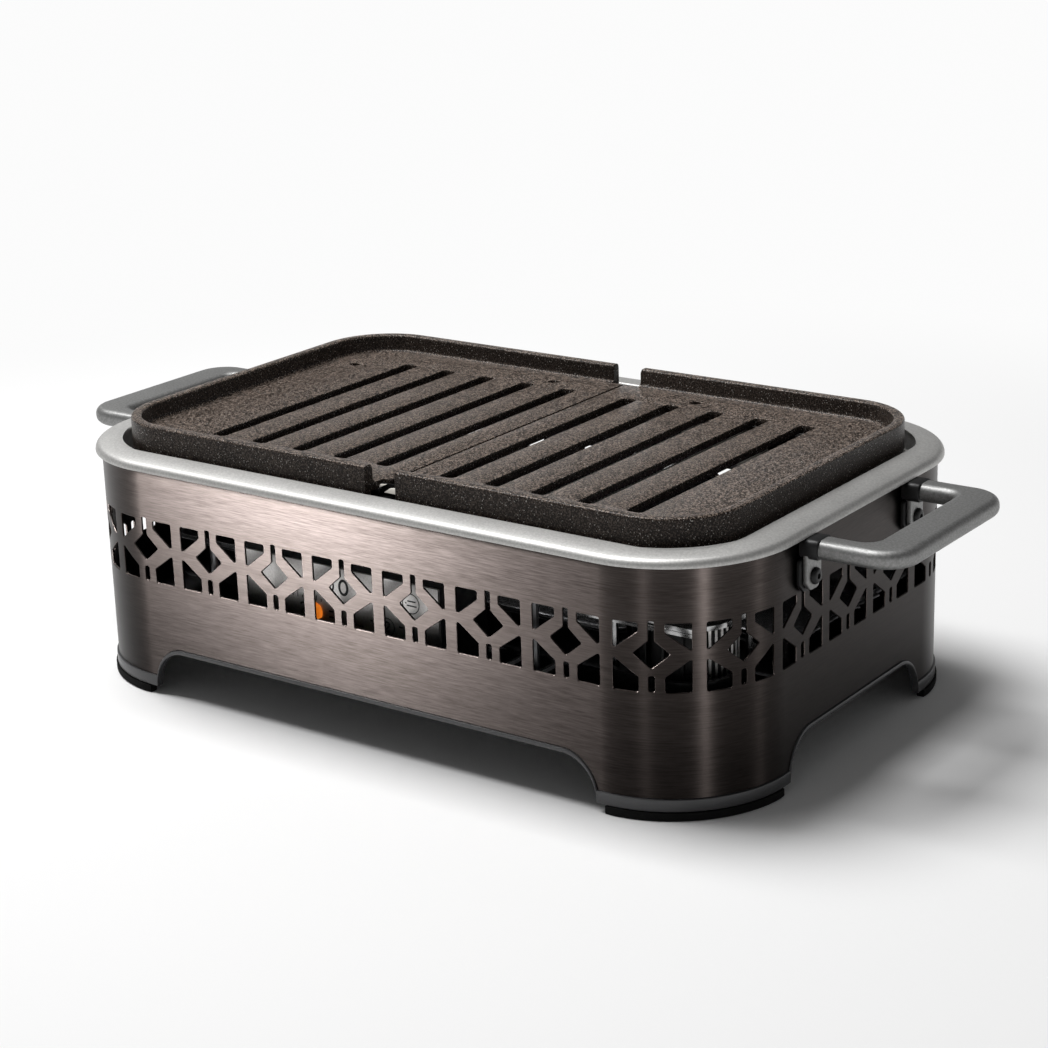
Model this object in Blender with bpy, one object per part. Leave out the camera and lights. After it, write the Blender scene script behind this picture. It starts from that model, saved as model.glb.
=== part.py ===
"""Electric table grill with two lift-off slotted plates, built from its real pieces.

Metres, +Z up, +X along the long side, front towards -Y. The origin is on the table
under the middle of the grill. Heights named ..._HEIGHT or ..._LEVEL are measured from
the lower edge of the base trim, which stands on four rubber feet.
"""
import math

import bmesh
import bpy
import numpy as np
from mathutils import Vector

CLEARANCE = 0.0003
CUT_OVERRUN = 0.002
MERGE_DISTANCE = 0.000002

# Housing: a bent sheet sleeve, a rounded rectangle seen from above.
HOUSING_HALF_LENGTH = 0.1985
HOUSING_HALF_DEPTH = 0.128
HOUSING_RADIUS = 0.060
HOUSING_SHEET = 0.0012
SLEEVE_TOP_LEVEL = 0.1192
CORNER_FACETS = 6
FRONT_FLAT = HOUSING_HALF_LENGTH - HOUSING_RADIUS
SIDE_FLAT = HOUSING_HALF_DEPTH - HOUSING_RADIUS
CORNER_ARC = HOUSING_RADIUS * math.pi / 2
PERIMETER = 4 * (FRONT_FLAT + SIDE_FLAT + CORNER_ARC)

# Fretwork: one cell runs from the middle of a bar to the middle of the next.
FRET_CELLS = 28
FRET_PITCH = PERIMETER / FRET_CELLS
FRET_PHASE_SHARE = -0.2
BAR_HALF_WIDTH = 0.0033
SIDE_POST_HALF_WIDTH = 0.0060
DIAMOND_HALF_WIDTH = 0.0086
SLIM_SLOT_HALF_WIDTH = 0.0014
OVAL_HALF_WIDTH = 0.0015
OPENING_TOP_LEVEL = 0.0898
UPPER_SIDE_LEVEL = 0.0857
UPPER_POINT_LEVEL = 0.0763
LOWER_POINT_LEVEL = 0.0731
LOWER_SIDE_LEVEL = 0.0644
OPENING_BOTTOM_LEVEL = 0.0571
DIAMOND_LEVEL = 0.0754
DIAMOND_BOTTOM_LEVEL = 0.0683
DIAMOND_NECK_LEVEL = 0.0816
SLIM_SLOT_TOP_LEVEL = 0.0908
OVAL_BOTTOM_LEVEL = 0.0574
OVAL_TOP_LEVEL = 0.0650

# Base trim: a moulded edge that dips to a foot at each corner.
FOOT_HEIGHT = 0.004
TRIM_FOOT_LEVEL = 0.006
TRIM_ARCH_THICKNESS = 0.0022
TRIM_PROUD = 0.0010
TRIM_WALL = 0.0012
TRIM_LIP = 0.003
ARCH_LEVEL = 0.0205
ARCH_SHOULDER = 0.019
ARCH_STEPS = 4
FRONT_ARCH_SETBACK = 0.0025
SIDE_ARCH_SETBACK = 0.004
FRONT_ARCH_HALF_LENGTH = FRONT_FLAT - FRONT_ARCH_SETBACK
SIDE_ARCH_HALF_LENGTH = SIDE_FLAT - SIDE_ARCH_SETBACK
FOOT_WIDTH = 0.0052
FOOT_SWEEP_DEG = 86.0

# Top rim: a pressed ring that hooks over the sleeve and carries the plates on a ledge.
RIM_TOP_LEVEL = 0.1211
RIM_SKIRT = 0.0050
RIM_SHEET = 0.0013
RIM_PROUD = 0.0032
RIM_ROLL = 0.0040
RIM_END_WIDTH = 0.0145
RIM_FRONT_WIDTH = 0.0138
RIM_CORNER_WIDTH = 0.024
RIM_OPENING_HALF_LENGTH = HOUSING_HALF_LENGTH - RIM_END_WIDTH
RIM_OPENING_HALF_DEPTH = HOUSING_HALF_DEPTH - RIM_FRONT_WIDTH
RIM_OPENING_RADIUS = HOUSING_RADIUS - RIM_CORNER_WIDTH
RIM_FLANGE = 0.012
RIM_LEDGE = 0.008
RIM_STEPS = 6
RIM_LEDGE_LEVEL = RIM_TOP_LEVEL - RIM_FLANGE + RIM_SHEET

# Grill plates: a cast tray in two halves, parted by a narrow seam.
PLATE_END_GAP = 0.004
PLATE_FRONT_GAP = 0.0032
PLATE_CORNER_EASE = 0.002
PLATE_HALF_LENGTH = RIM_OPENING_HALF_LENGTH - PLATE_END_GAP
PLATE_HALF_DEPTH = RIM_OPENING_HALF_DEPTH - PLATE_FRONT_GAP
PLATE_RADIUS = RIM_OPENING_RADIUS + PLATE_CORNER_EASE
PLATE_WALL = 0.0056
PLATE_WALL_ROUND = 0.0016
PLATE_ROUND_SHARE = 0.3
PLATE_SKIRT = 0.0035
PLATE_TOP_LEVEL = 0.1330
PLATE_FLOOR_LEVEL = 0.1238
PLATE_FLOOR = 0.0042
PLATE_BOTTOM_LEVEL = RIM_LEDGE_LEVEL + CLEARANCE
PLATE_STEPS = 6
SEAM_GAP = 0.0012
SEAM_NOTCH_LEFT = 0.005
SEAM_NOTCH_RIGHT = 0.012
SEAM_NOTCH_SETBACK = 0.007
REAR_NOTCH_LEFT = 0.007
REAR_NOTCH_RIGHT = 0.010
SLOT_COUNT = 5
SLOT_FIRST = 0.0197
SLOT_OUTER_MARGIN = 0.0533
SLOT_END_MARGIN = 0.030
SLOT_PITCH = (PLATE_HALF_LENGTH - SLOT_OUTER_MARGIN - SLOT_FIRST) / (SLOT_COUNT - 1)
SLOT_WIDTH = 0.0084
SLOT_HALF_LENGTH = PLATE_HALF_DEPTH - SLOT_END_MARGIN
SLOT_CORNER = 0.0022

# Handles: a flat U with a down-turned tab at each arm, screwed through a spacer.
HANDLE_REACH = 0.0517
HANDLE_END_MARGIN = 0.012
HANDLE_HALF_WIDTH = SIDE_FLAT - HANDLE_END_MARGIN
HANDLE_BAR_WIDTH = 0.0215
HANDLE_ARM_WIDTH = 0.0132
HANDLE_THICKNESS = 0.009
HANDLE_TOP_LEVEL = 0.1156
HANDLE_OUTER_RADIUS = 0.018
HANDLE_INNER_RADIUS = 0.007
HANDLE_EDGE = 0.0024
HANDLE_CORNER_STEPS = 5
SPACER_THICKNESS = 0.0020
TAB_THICKNESS = 0.0025
TAB_HALF_WIDTH = 0.0075
TAB_TIP_LEVEL = 0.0912
TAB_POINT = 0.004
TAB_SHOULDER = 0.001
HANDLE_SCREW_LEVEL = 0.0975
HANDLE_SCREW_RADIUS = 0.002
HANDLE_SCREW_HEAD_RADIUS = 0.0040
HANDLE_SCREW_HEAD = 0.0020
HANDLE_SCREW_DOME_SHARE = 0.7
STRAP_THICKNESS = 0.002
STRAP_HEIGHT = 0.012
STRAP_CORNER = 0.004
STRAP_END = 0.008

# Base plate and the bolts that tie it to the rim.
BASE_PLATE_LEVEL = 0.0245
BASE_PLATE_SHEET = 0.0012
BASE_VENT_COUNT = 7
BASE_VENT_PITCH = 0.020
BASE_VENT_HALF_LENGTH = 0.030
BASE_VENT_WIDTH = 0.005
BASE_VENT_ROW_Y = 0.040
TIE_BOLT_X = 0.098
TIE_BOLT_INSET = 0.008
TIE_BOLT_RADIUS = 0.002
TIE_BOLT_HEAD_RADIUS = 0.0045
TIE_BOLT_HEAD = 0.0030

# Reflector frame and heating coils under the plates.
FRAME_SHEET = 0.0012
FRAME_BOTTOM_LEVEL = 0.0930
FRAME_TOP_LEVEL = RIM_TOP_LEVEL - RIM_FLANGE - CLEARANCE
FRAME_FLANGE = 0.026
RAIL_INSET = 0.0262
RAIL_END_INSET = 0.016
RAIL_Y = RIM_OPENING_HALF_DEPTH - RAIL_INSET
RAIL_WIDTH = 0.016
RAIL_SHEET = 0.0012
RAIL_HALF_LENGTH = RIM_OPENING_HALF_LENGTH - RAIL_END_INSET
RAIL_LIP = 0.006
COIL_RUN_INNER_X = SLOT_FIRST + SLOT_PITCH * 3 / 2
COIL_RUN_OUTER_X = COIL_RUN_INNER_X + SLOT_PITCH
COIL_AXIS_LEVEL = 0.1085
COIL_RADIUS = 0.0048
COIL_WIRE_RADIUS = 0.0009
COIL_CURLS = 8
COIL_POINTS_PER_CURL = 8
COIL_END_GAP = 0.009
COIL_HALF_LENGTH = RAIL_Y - COIL_END_GAP
COIL_LEAD = 0.014
COIL_TURN_POINTS = 7
BLOCK_HALF_WIDTH = 0.024
BLOCK_THICKNESS = 0.008
BLOCK_HEAD = 0.007
BLOCK_CHAMFER = 0.002
THERMOSTAT_RADIUS = 0.0060
THERMOSTAT_HEIGHT = 0.006
THERMOSTAT_CAP_RADIUS = 0.0036
THERMOSTAT_CAP = 0.003

# Control box behind the front openings.
BOX_LEFT_X = -0.0910
BOX_RIGHT_X = 0.0365
BOX_FRONT_GAP = 0.0175
BOX_DEPTH = 0.0365
BOX_FRONT_Y = BOX_FRONT_GAP - HOUSING_HALF_DEPTH
BOX_BACK_Y = BOX_FRONT_Y + BOX_DEPTH
BOX_SHEET = 0.0012
BOX_TOP_LEVEL = 0.0790
PANEL_SHEET = 0.0015
LAMP_X = -0.0405
LAMP_LEVEL = 0.0540
LAMP_RADIUS = 0.0046
LAMP_PROUD = 0.0020
LAMP_BODY = 0.014
LAMP_BEZEL_SHARE = 0.8
LAMP_TIP_SHARE = 0.4
LAMP_TIP = 0.0008
SELECTOR_X = -0.028
SELECTOR_LEVEL = 0.0375
SELECTOR_TRAVEL = 0.012
SELECTOR_HALF_WIDTH = 0.0045
SELECTOR_THICKNESS = 0.0026
SELECTOR_KNOB_DEPTH = 0.0075
SELECTOR_KNOB_HEIGHT = 0.008
SELECTOR_KNOB_TAPER = 0.0016
SWITCH_HALF_WIDTH = 0.024
SWITCH_HALF_HEIGHT = 0.0075
SWITCH_DEPTH = 0.018
SWITCH_STANDOFF = 0.0015
SELECTOR_TONGUE = 0.007
TERMINAL_X = 0.0145
TERMINAL_HALF_WIDTH = 0.016
TERMINAL_HEIGHT = 0.011
TERMINAL_DEPTH = 0.012
TERMINAL_WAYS = 3
TERMINAL_BORE_RADIUS = 0.0018

# Blower in the front right corner: pan, motor, bladed wheel and cover.
BLOWER_END_GAP = 0.047
BLOWER_FRONT_GAP = 0.0485
BLOWER_X = HOUSING_HALF_LENGTH - BLOWER_END_GAP
BLOWER_Y = BLOWER_FRONT_GAP - HOUSING_HALF_DEPTH
BLOWER_HALF_LENGTH = 0.0335
BLOWER_HALF_DEPTH = 0.0325
BLOWER_RADIUS = 0.024
BLOWER_PAN_LEVEL = 0.0535
BLOWER_SHEET = 0.0010
BLOWER_PAN_RIM = 0.0030
BLOWER_COVER_LEVEL = 0.0830
BLOWER_COVER_EDGE = 0.0022
BLOWER_INLET_RADIUS = 0.020
BLOWER_POST_RADIUS = 0.0018
BLOWER_POST_INSET = 0.0055
MOTOR_RADIUS = 0.017
MOTOR_BASE_RADIUS = 0.0136
MOTOR_NOSE_RADIUS = 0.0102
MOTOR_SHOULDER = 0.0045
SHAFT_RADIUS = 0.002
SHAFT_DEPTH = 0.012
WHEEL_RADIUS = 0.0262
WHEEL_BLADE_DEPTH = 0.0058
WHEEL_DISC = 0.0012
WHEEL_RING = 0.0016
WHEEL_RING_WIDTH = 0.0034
WHEEL_FLOOR_GAP = 0.0022
WHEEL_COVER_GAP = 0.0020
WHEEL_HUB_RADIUS = 0.006
WHEEL_HUB_HEIGHT = 0.010
WHEEL_HUB_TOP_RADIUS = 0.0048
WHEEL_BLADES = 18
WHEEL_BLADE_SHEET = 0.0009
WHEEL_BLADE_LEAN_DEG = 22.0
WHEEL_BLADE_POINTS = 3
BLADE_SINK = 0.0004
ROUND_SIDES = 20
SMALL_SIDES = 10

# Drip tray with its corner left free for the blower, on two rails.
TRAY_LEFT_GAP = 0.0185
TRAY_RIGHT_GAP = 0.0135
TRAY_BACK_GAP = 0.020
TRAY_BOX_GAP = 0.008
TRAY_BLOWER_GAP = 0.013
TRAY_LEFT_X = TRAY_LEFT_GAP - HOUSING_HALF_LENGTH
TRAY_RIGHT_X = HOUSING_HALF_LENGTH - TRAY_RIGHT_GAP
TRAY_FRONT_Y = BOX_BACK_Y + TRAY_BOX_GAP
TRAY_BACK_Y = HOUSING_HALF_DEPTH - TRAY_BACK_GAP
TRAY_NOTCH_X = BLOWER_X - BLOWER_HALF_LENGTH - TRAY_BOX_GAP
TRAY_NOTCH_Y = BLOWER_Y + BLOWER_HALF_DEPTH + TRAY_BLOWER_GAP
TRAY_RADIUS = 0.016
TRAY_SHEET = 0.001
TRAY_RIM = 0.0032
TRAY_RIM_LEVEL = 0.0588
TRAY_BOTTOM_LEVEL = 0.0330
TRAY_STEPS = 4
TRAY_RAIL_WIDTH = 0.012
TRAY_RAIL_END_GAP = 0.0485
TRAY_RAIL_SIDE_GAP = 0.083
TRAY_RAIL_HALF_LENGTH = HOUSING_HALF_LENGTH - TRAY_RAIL_END_GAP
TRAY_RAIL_Y = HOUSING_HALF_DEPTH - TRAY_RAIL_SIDE_GAP

# Mains inlet in the back wall, in the plain band under the fretwork.
INLET_HALF_WIDTH = 0.0125
INLET_HALF_HEIGHT = 0.0090
INLET_LEVEL = 0.0395
INLET_WALL = 0.0022
INLET_DEPTH = 0.024
INLET_RECESS = 0.017
INLET_PROUD = 0.0014
INLET_CORNER = 0.004
INLET_PIN_LENGTH = 0.010
INLET_PIN_HALF_WIDTH = 0.0010
INLET_PIN_HALF_HEIGHT = 0.0020
INLET_PIN_SPACING = 0.0065
INLET_PIN_OFFSET = 0.0028

BASE_Z = FOOT_HEIGHT + CLEARANCE
RIM_UNDERSIDE = BASE_Z + RIM_TOP_LEVEL - RIM_SHEET
HANDLE_TOP_Z = BASE_Z + HANDLE_TOP_LEVEL
TAB_INNER_X = HOUSING_HALF_LENGTH + SPACER_THICKNESS + 2 * CLEARANCE
TAB_OUTER_X = TAB_INNER_X + TAB_THICKNESS
TAB_Y = HANDLE_HALF_WIDTH - HANDLE_ARM_WIDTH / 2 + (TAB_HALF_WIDTH - HANDLE_ARM_WIDTH / 2)
SCREW_Z = BASE_Z + HANDLE_SCREW_LEVEL
TIE_BOLT_Y = HOUSING_HALF_DEPTH - TIE_BOLT_INSET
BASE_TOP_Z = BASE_Z + BASE_PLATE_LEVEL + BASE_PLATE_SHEET
COIL_Z = BASE_Z + COIL_AXIS_LEVEL
PANEL_FRONT_Y = BOX_FRONT_Y - CLEARANCE - PANEL_SHEET


def clear_scene():
    """Remove everything the file opened with."""
    for item in list(bpy.context.scene.objects):
        bpy.data.objects.remove(item, do_unlink=True)


def material(name, colour, roughness, metallic=0.0):
    """A plain Principled material."""
    made = bpy.data.materials.get(name)
    if made is None:
        made = bpy.data.materials.new(name)
        made.use_nodes = True
        shader = made.node_tree.nodes["Principled BSDF"]
        shader.inputs["Base Color"].default_value = (*colour, 1.0)
        shader.inputs["Roughness"].default_value = roughness
        shader.inputs["Metallic"].default_value = metallic
    return made


def bronze_steel():
    return material("brushed_bronze_steel", (0.16, 0.14, 0.13), 0.38, 1.0)


def satin_silver():
    return material("satin_silver", (0.62, 0.62, 0.61), 0.30, 1.0)


def bright_steel():
    return material("bright_steel", (0.72, 0.72, 0.72), 0.16, 1.0)


def zinc_steel():
    return material("zinc_steel", (0.42, 0.42, 0.42), 0.42, 1.0)


def plate_coating():
    return material("non_stick_coating", (0.10, 0.09, 0.085), 0.45)


def black_plastic():
    return material("black_plastic", (0.02, 0.02, 0.021), 0.45)


def dark_trim():
    return material("grey_trim_plastic", (0.09, 0.09, 0.10), 0.42)


def rubber():
    return material("black_rubber", (0.018, 0.018, 0.018), 0.8)


def ceramic():
    return material("white_ceramic", (0.75, 0.73, 0.68), 0.5)


def amber_lens():
    return material("amber_lens", (0.95, 0.33, 0.03), 0.2)


def heater_wire():
    return material("heater_wire", (0.45, 0.43, 0.41), 0.35, 1.0)


def add_object(name, mesh, paint=None):
    """Put a mesh into the scene, smooth where its faces meet gently."""
    made = bpy.data.objects.new(name, mesh)
    bpy.context.scene.collection.objects.link(made)
    if paint is not None:
        mesh.materials.append(paint)
        mesh.shade_smooth()
        mesh.set_sharp_from_angle(angle=math.radians(35.0))
    return made


def mesh_from(name, points, faces):
    """A mesh whose faces all point outwards."""
    mesh = bpy.data.meshes.new(name)
    mesh.from_pydata([tuple(p) for p in points], [], faces)
    work = bmesh.new()
    work.from_mesh(mesh)
    bmesh.ops.remove_doubles(work, verts=work.verts, dist=MERGE_DISTANCE)
    bmesh.ops.recalc_face_normals(work, faces=work.faces)
    work.to_mesh(mesh)
    work.free()
    return mesh


def cut(target, cutter, operation="DIFFERENCE"):
    """Boolean modifier with the exact solver; the cutter stays out of the build."""
    cutter.hide_render = True
    cutter.display_type = "WIRE"
    step = target.modifiers.new(cutter.name, "BOOLEAN")
    step.operation = operation
    step.solver = "EXACT"
    step.object = cutter
    return target


def rounded_rectangle(half_x, half_y, radius, steps, centre=(0.0, 0.0)):
    """Outline of a rounded rectangle, anticlockwise from its front right corner."""
    points = []
    for quarter in range(4):
        sign_x = (1, 1, -1, -1)[quarter]
        sign_y = (-1, 1, 1, -1)[quarter]
        for step in range(steps + 1):
            angle = math.pi / 2 * (quarter - 1 + step / steps)
            x = centre[0] + sign_x * (half_x - radius) + radius * math.cos(angle)
            y = centre[1] + sign_y * (half_y - radius) + radius * math.sin(angle)
            points.append((x, y))
    return points


def circle(radius, sides, centre=(0.0, 0.0)):
    """Points round a circle."""
    turn = 2 * math.pi / sides
    return [(centre[0] + radius * math.cos(turn * i), centre[1] + radius * math.sin(turn * i))
            for i in range(sides)]


def loft(name, loops, closed=True):
    """Skin between loops of equal length; an open run of loops is capped at its ends."""
    count = len(loops[0])
    points = [point for loop in loops for point in loop]
    faces = []
    last = len(loops) if closed else len(loops) - 1
    for row in range(last):
        start = row * count
        after = (row + 1) % len(loops) * count
        for i in range(count):
            j = (i + 1) % count
            faces.append((start + i, start + j, after + j, after + i))
    if not closed:
        faces.append(tuple(reversed(range(count))))
        faces.append(tuple(range((len(loops) - 1) * count, len(loops) * count)))
    return mesh_from(name, points, faces)


def at_height(outline, z):
    return [(x, y, z) for x, y in outline]


def prism(name, outline, low, high, axis="Z"):
    """Extrude a flat outline between two places along an axis."""
    orders = {"Z": lambda a, b, c: (a, b, c), "X": lambda a, b, c: (c, a, b), "Y": lambda a, b, c: (a, c, b)}
    order = orders[axis]
    loops = [[order(a, b, c) for a, b in outline] for c in (low, high)]
    return loft(name, loops, closed=False)


def block(name, low, high):
    """A plain box between two corners."""
    outline = [(low[0], low[1]), (high[0], low[1]), (high[0], high[1]), (low[0], high[1])]
    return prism(name, outline, low[2], high[2])


def turned(name, profile, centre, sides, axis="Z"):
    """Revolve a profile of (radius, place) points, from axis to axis, about an axis."""
    loops = [at_height(circle(radius, sides), place) for radius, place in profile]
    mesh = loft(name, loops, closed=False)
    for vertex in mesh.vertices:
        a, b, c = vertex.co
        vertex.co = {"Z": (a, b, c), "X": (c, a, b), "Y": (b, c, a)}[axis]
        vertex.co += Vector(centre)
    return mesh


def joined(name, meshes):
    """Several closed meshes as one, for use as a cutter."""
    work = bmesh.new()
    for mesh in meshes:
        work.from_mesh(mesh)
    made = bpy.data.meshes.new(name)
    work.to_mesh(made)
    work.free()
    return made


def wall_point(distance, offset, z):
    """Point on the housing wall, a distance round it from the middle of the front.

    Each corner is bent in flat facets, so a point inside a facet lies on its chord.
    """
    quarter_length = PERIMETER / 2
    half = math.floor((distance + FRONT_FLAT) / quarter_length)
    local = distance + FRONT_FLAT - half * quarter_length
    if local <= 2 * FRONT_FLAT:
        x, y = local - FRONT_FLAT, -HOUSING_HALF_DEPTH - offset
    elif local <= 2 * FRONT_FLAT + CORNER_ARC:
        x, y = corner_point((local - 2 * FRONT_FLAT) / CORNER_ARC, offset)
    elif local <= 2 * FRONT_FLAT + CORNER_ARC + 2 * SIDE_FLAT:
        x, y = HOUSING_HALF_LENGTH + offset, local - 2 * FRONT_FLAT - CORNER_ARC - SIDE_FLAT
    else:
        share = (local - 2 * FRONT_FLAT - CORNER_ARC - 2 * SIDE_FLAT) / CORNER_ARC
        x, y = corner_point(1 - share, offset)
        y = -y
    turn = -1 if half % 2 else 1
    return (turn * x, turn * y, z)


def corner_point(share, offset):
    """Point on the faceted front right corner, from 0 at the front to 1 at the side."""
    place = min(max(share, 0.0), 1.0) * CORNER_FACETS
    facet = min(int(place), CORNER_FACETS - 1)
    ends = []
    for index in (facet, facet + 1):
        angle = math.pi / 2 * (index / CORNER_FACETS - 1)
        reach = HOUSING_RADIUS + offset
        ends.append((FRONT_FLAT + reach * math.cos(angle), -SIDE_FLAT + reach * math.sin(angle)))
    part = place - facet
    return tuple(a + (b - a) * part for a, b in zip(*ends))


def side_centres():
    """Distance of the middle of each side, with the half length of its arch."""
    quarter = PERIMETER / 4
    return [(quarter * i, FRONT_ARCH_HALF_LENGTH if i % 2 == 0 else SIDE_ARCH_HALF_LENGTH) for i in range(4)]


def bend_lines():
    """Distances of all the corner bends."""
    lines = []
    for start in (FRONT_FLAT, FRONT_FLAT + CORNER_ARC + 2 * SIDE_FLAT):
        for half in (0, 1):
            for i in range(CORNER_FACETS + 1):
                lines.append(start + half * PERIMETER / 2 + CORNER_ARC * i / CORNER_FACETS)
    return sorted(lines)


def arch_height(distance):
    """Height of the trim's lower edge: zero at a foot, a quarter ellipse, then flat."""
    rise = 0.0
    for centre, half in side_centres():
        away = abs((distance - centre + PERIMETER / 2) % PERIMETER - PERIMETER / 2)
        if away < half:
            share = min((half - away) / ARCH_SHOULDER, 1.0)
            rise = ARCH_LEVEL * math.sqrt(1.0 - (1.0 - share) ** 2)
    return rise


def trim_top(distance):
    """Height of the trim's upper edge, on which the sleeve stands."""
    return max(TRIM_FOOT_LEVEL, arch_height(distance) + TRIM_ARCH_THICKNESS)


def edge_stations():
    """Distances where the lower edge has a point, all round."""
    stations = list(bend_lines())
    for centre, half in side_centres():
        for step in range(ARCH_STEPS + 1):
            share = 1.0 - math.cos(math.pi / 2 * step / ARCH_STEPS)
            for side in (-1, 1):
                stations.append(centre + side * (half - ARCH_SHOULDER * share))
    return sorted(station % PERIMETER for station in stations)


def fret_openings(half_pitch):
    """The six openings of a cell, in places from its middle."""
    bar = half_pitch - BAR_HALF_WIDTH
    post = SIDE_POST_HALF_WIDTH
    openings = []
    for side in (-1, 1):
        upper = [(side * post, OPENING_TOP_LEVEL), (side * bar, OPENING_TOP_LEVEL),
                 (side * bar, UPPER_POINT_LEVEL), (side * post, UPPER_SIDE_LEVEL)]
        lower = [(side * bar, LOWER_POINT_LEVEL), (side * bar, OPENING_BOTTOM_LEVEL),
                 (side * post, OPENING_BOTTOM_LEVEL), (side * post, LOWER_SIDE_LEVEL)]
        openings += [upper, lower]
    slim = SLIM_SLOT_HALF_WIDTH
    slim_top = SLIM_SLOT_TOP_LEVEL
    keyhole = [(slim, slim_top - slim), (0.0, slim_top), (-slim, slim_top - slim),
               (-slim, DIAMOND_NECK_LEVEL), (-DIAMOND_HALF_WIDTH, DIAMOND_LEVEL), (0.0, DIAMOND_BOTTOM_LEVEL),
               (DIAMOND_HALF_WIDTH, DIAMOND_LEVEL), (slim, DIAMOND_NECK_LEVEL)]
    oval = OVAL_HALF_WIDTH
    slot = [(oval, OVAL_TOP_LEVEL - oval), (0.0, OVAL_TOP_LEVEL), (-oval, OVAL_TOP_LEVEL - oval),
            (-oval, OVAL_BOTTOM_LEVEL + oval), (0.0, OVAL_BOTTOM_LEVEL), (oval, OVAL_BOTTOM_LEVEL + oval)]
    return openings + [keyhole, slot]


def fret_cell(work, index):
    """Fill one cell of the flat sheet, openings left free, in places round and up."""
    middle = (index + FRET_PHASE_SHARE) * FRET_PITCH
    low = middle - FRET_PITCH / 2
    high = middle + FRET_PITCH / 2
    stations = [s + turn * PERIMETER for s in edge_stations() for turn in (-1, 0, 1)]
    inner = [s for s in stations if low + MERGE_DISTANCE < s < high - MERGE_DISTANCE]
    border = [(s, trim_top(s) + CLEARANCE) for s in [low] + sorted(set(inner)) + [high]]
    border += [(high, SLEEVE_TOP_LEVEL), (low, SLEEVE_TOP_LEVEL)]
    openings = [[(middle + x, z) for x, z in shape] for shape in fret_openings(FRET_PITCH / 2)]
    edges = []
    for outline in [border] + openings:
        vertices = [work.verts.new((x, z, 0.0)) for x, z in outline]
        for i, vertex in enumerate(vertices):
            edges.append(work.edges.new((vertices[i - 1], vertex)))
    bmesh.ops.triangle_fill(work, use_beauty=True, use_dissolve=False, edges=edges, normal=(0, 0, 1))


def housing_sheet():
    """The pierced sheet bent round the housing, with its thickness."""
    work = bmesh.new()
    for index in range(FRET_CELLS):
        fret_cell(work, index)
    for line in bend_lines():
        for turn in (-1, 0, 1):
            everything = work.verts[:] + work.edges[:] + work.faces[:]
            bmesh.ops.bisect_plane(work, geom=everything, dist=MERGE_DISTANCE,
                                   plane_co=(line + turn * PERIMETER, 0, 0), plane_no=(1, 0, 0))
    bmesh.ops.remove_doubles(work, verts=work.verts, dist=MERGE_DISTANCE)
    flat = [tuple(vertex.co) for vertex in work.verts]
    faces = [tuple(vertex.index for vertex in face.verts) for face in work.faces]
    open_edges = [edge for edge in work.edges if len(edge.link_faces) == 1]
    rim_edges = [tuple(vertex.index for vertex in edge.verts) for edge in open_edges]
    work.free()
    count = len(flat)
    outer = [wall_point(s, 0.0, BASE_Z + z) for s, z, _ in flat]
    inner = [wall_point(s, -HOUSING_SHEET, BASE_Z + z) for s, z, _ in flat]
    seam = FRET_PHASE_SHARE * FRET_PITCH - FRET_PITCH / 2
    ends = (seam, seam + PERIMETER)
    skin = list(faces) + [tuple(i + count for i in reversed(face)) for face in faces]
    for a, b in rim_edges:
        places = (flat[a][0], flat[b][0])
        closing = any(max(abs(place - end) for place in places) < MERGE_DISTANCE for end in ends)
        if not closing:
            skin.append((a, b, b + count, a + count))
    return mesh_from("housing_sleeve", outer + inner, skin)


def inlet_place():
    """Middle of the fretwork cell nearest the middle of the back, as a point."""
    index = round(FRET_CELLS / 2 - FRET_PHASE_SHARE - FRET_PITCH / PERIMETER)
    return wall_point((index + FRET_PHASE_SHARE) * FRET_PITCH, 0.0, BASE_Z + INLET_LEVEL)


def inlet_outline(grow, centre):
    """Inlet body seen from behind, in places along X and Z."""
    half_x = INLET_HALF_WIDTH + grow
    half_z = INLET_HALF_HEIGHT + grow
    outline = [(-half_x, -half_z), (half_x, -half_z), (half_x, half_z - INLET_CORNER),
               (half_x - INLET_CORNER, half_z), (INLET_CORNER - half_x, half_z), (-half_x, half_z - INLET_CORNER)]
    return [(centre[0] + x, centre[2] + z) for x, z in outline]


def make_housing():
    """Sleeve with its fretwork, the screw holes of the handles and the inlet's cut-out."""
    sleeve = add_object("housing_sleeve", housing_sheet(), bronze_steel())
    cutters = []
    for side in (-1, 1):
        for y in (-TAB_Y, TAB_Y):
            start = side * (HOUSING_HALF_LENGTH - HOUSING_SHEET - CUT_OVERRUN)
            end = side * (HOUSING_HALF_LENGTH + CUT_OVERRUN)
            hole = circle(HANDLE_SCREW_RADIUS + CLEARANCE, SMALL_SIDES, (y, SCREW_Z))
            cutters.append(prism("hole", hole, start, end, "X"))
    place = inlet_place()
    outline = inlet_outline(CLEARANCE, place)
    start = HOUSING_HALF_DEPTH - HOUSING_SHEET - CUT_OVERRUN
    cutters.append(prism("hole", outline, start, HOUSING_HALF_DEPTH + CUT_OVERRUN, "Y"))
    cut(sleeve, add_object("sleeve_holes", joined("sleeve_holes", cutters)))


def make_base_trim():
    """Moulded edge under the sleeve: outer face, seat and inner lip, dipping to the feet."""
    inner = -HOUSING_SHEET - CLEARANCE
    loops = []
    for s in edge_stations():
        low = BASE_Z + arch_height(s)
        top = BASE_Z + trim_top(s)
        lip = top + TRIM_LIP
        loops.append([wall_point(s, TRIM_PROUD, low), wall_point(s, TRIM_PROUD, top), wall_point(s, inner, top),
                      wall_point(s, inner, lip), wall_point(s, inner - TRIM_WALL, lip),
                      wall_point(s, inner - TRIM_WALL, low)])
    add_object("base_trim", loft("base_trim", loops), dark_trim())


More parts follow.
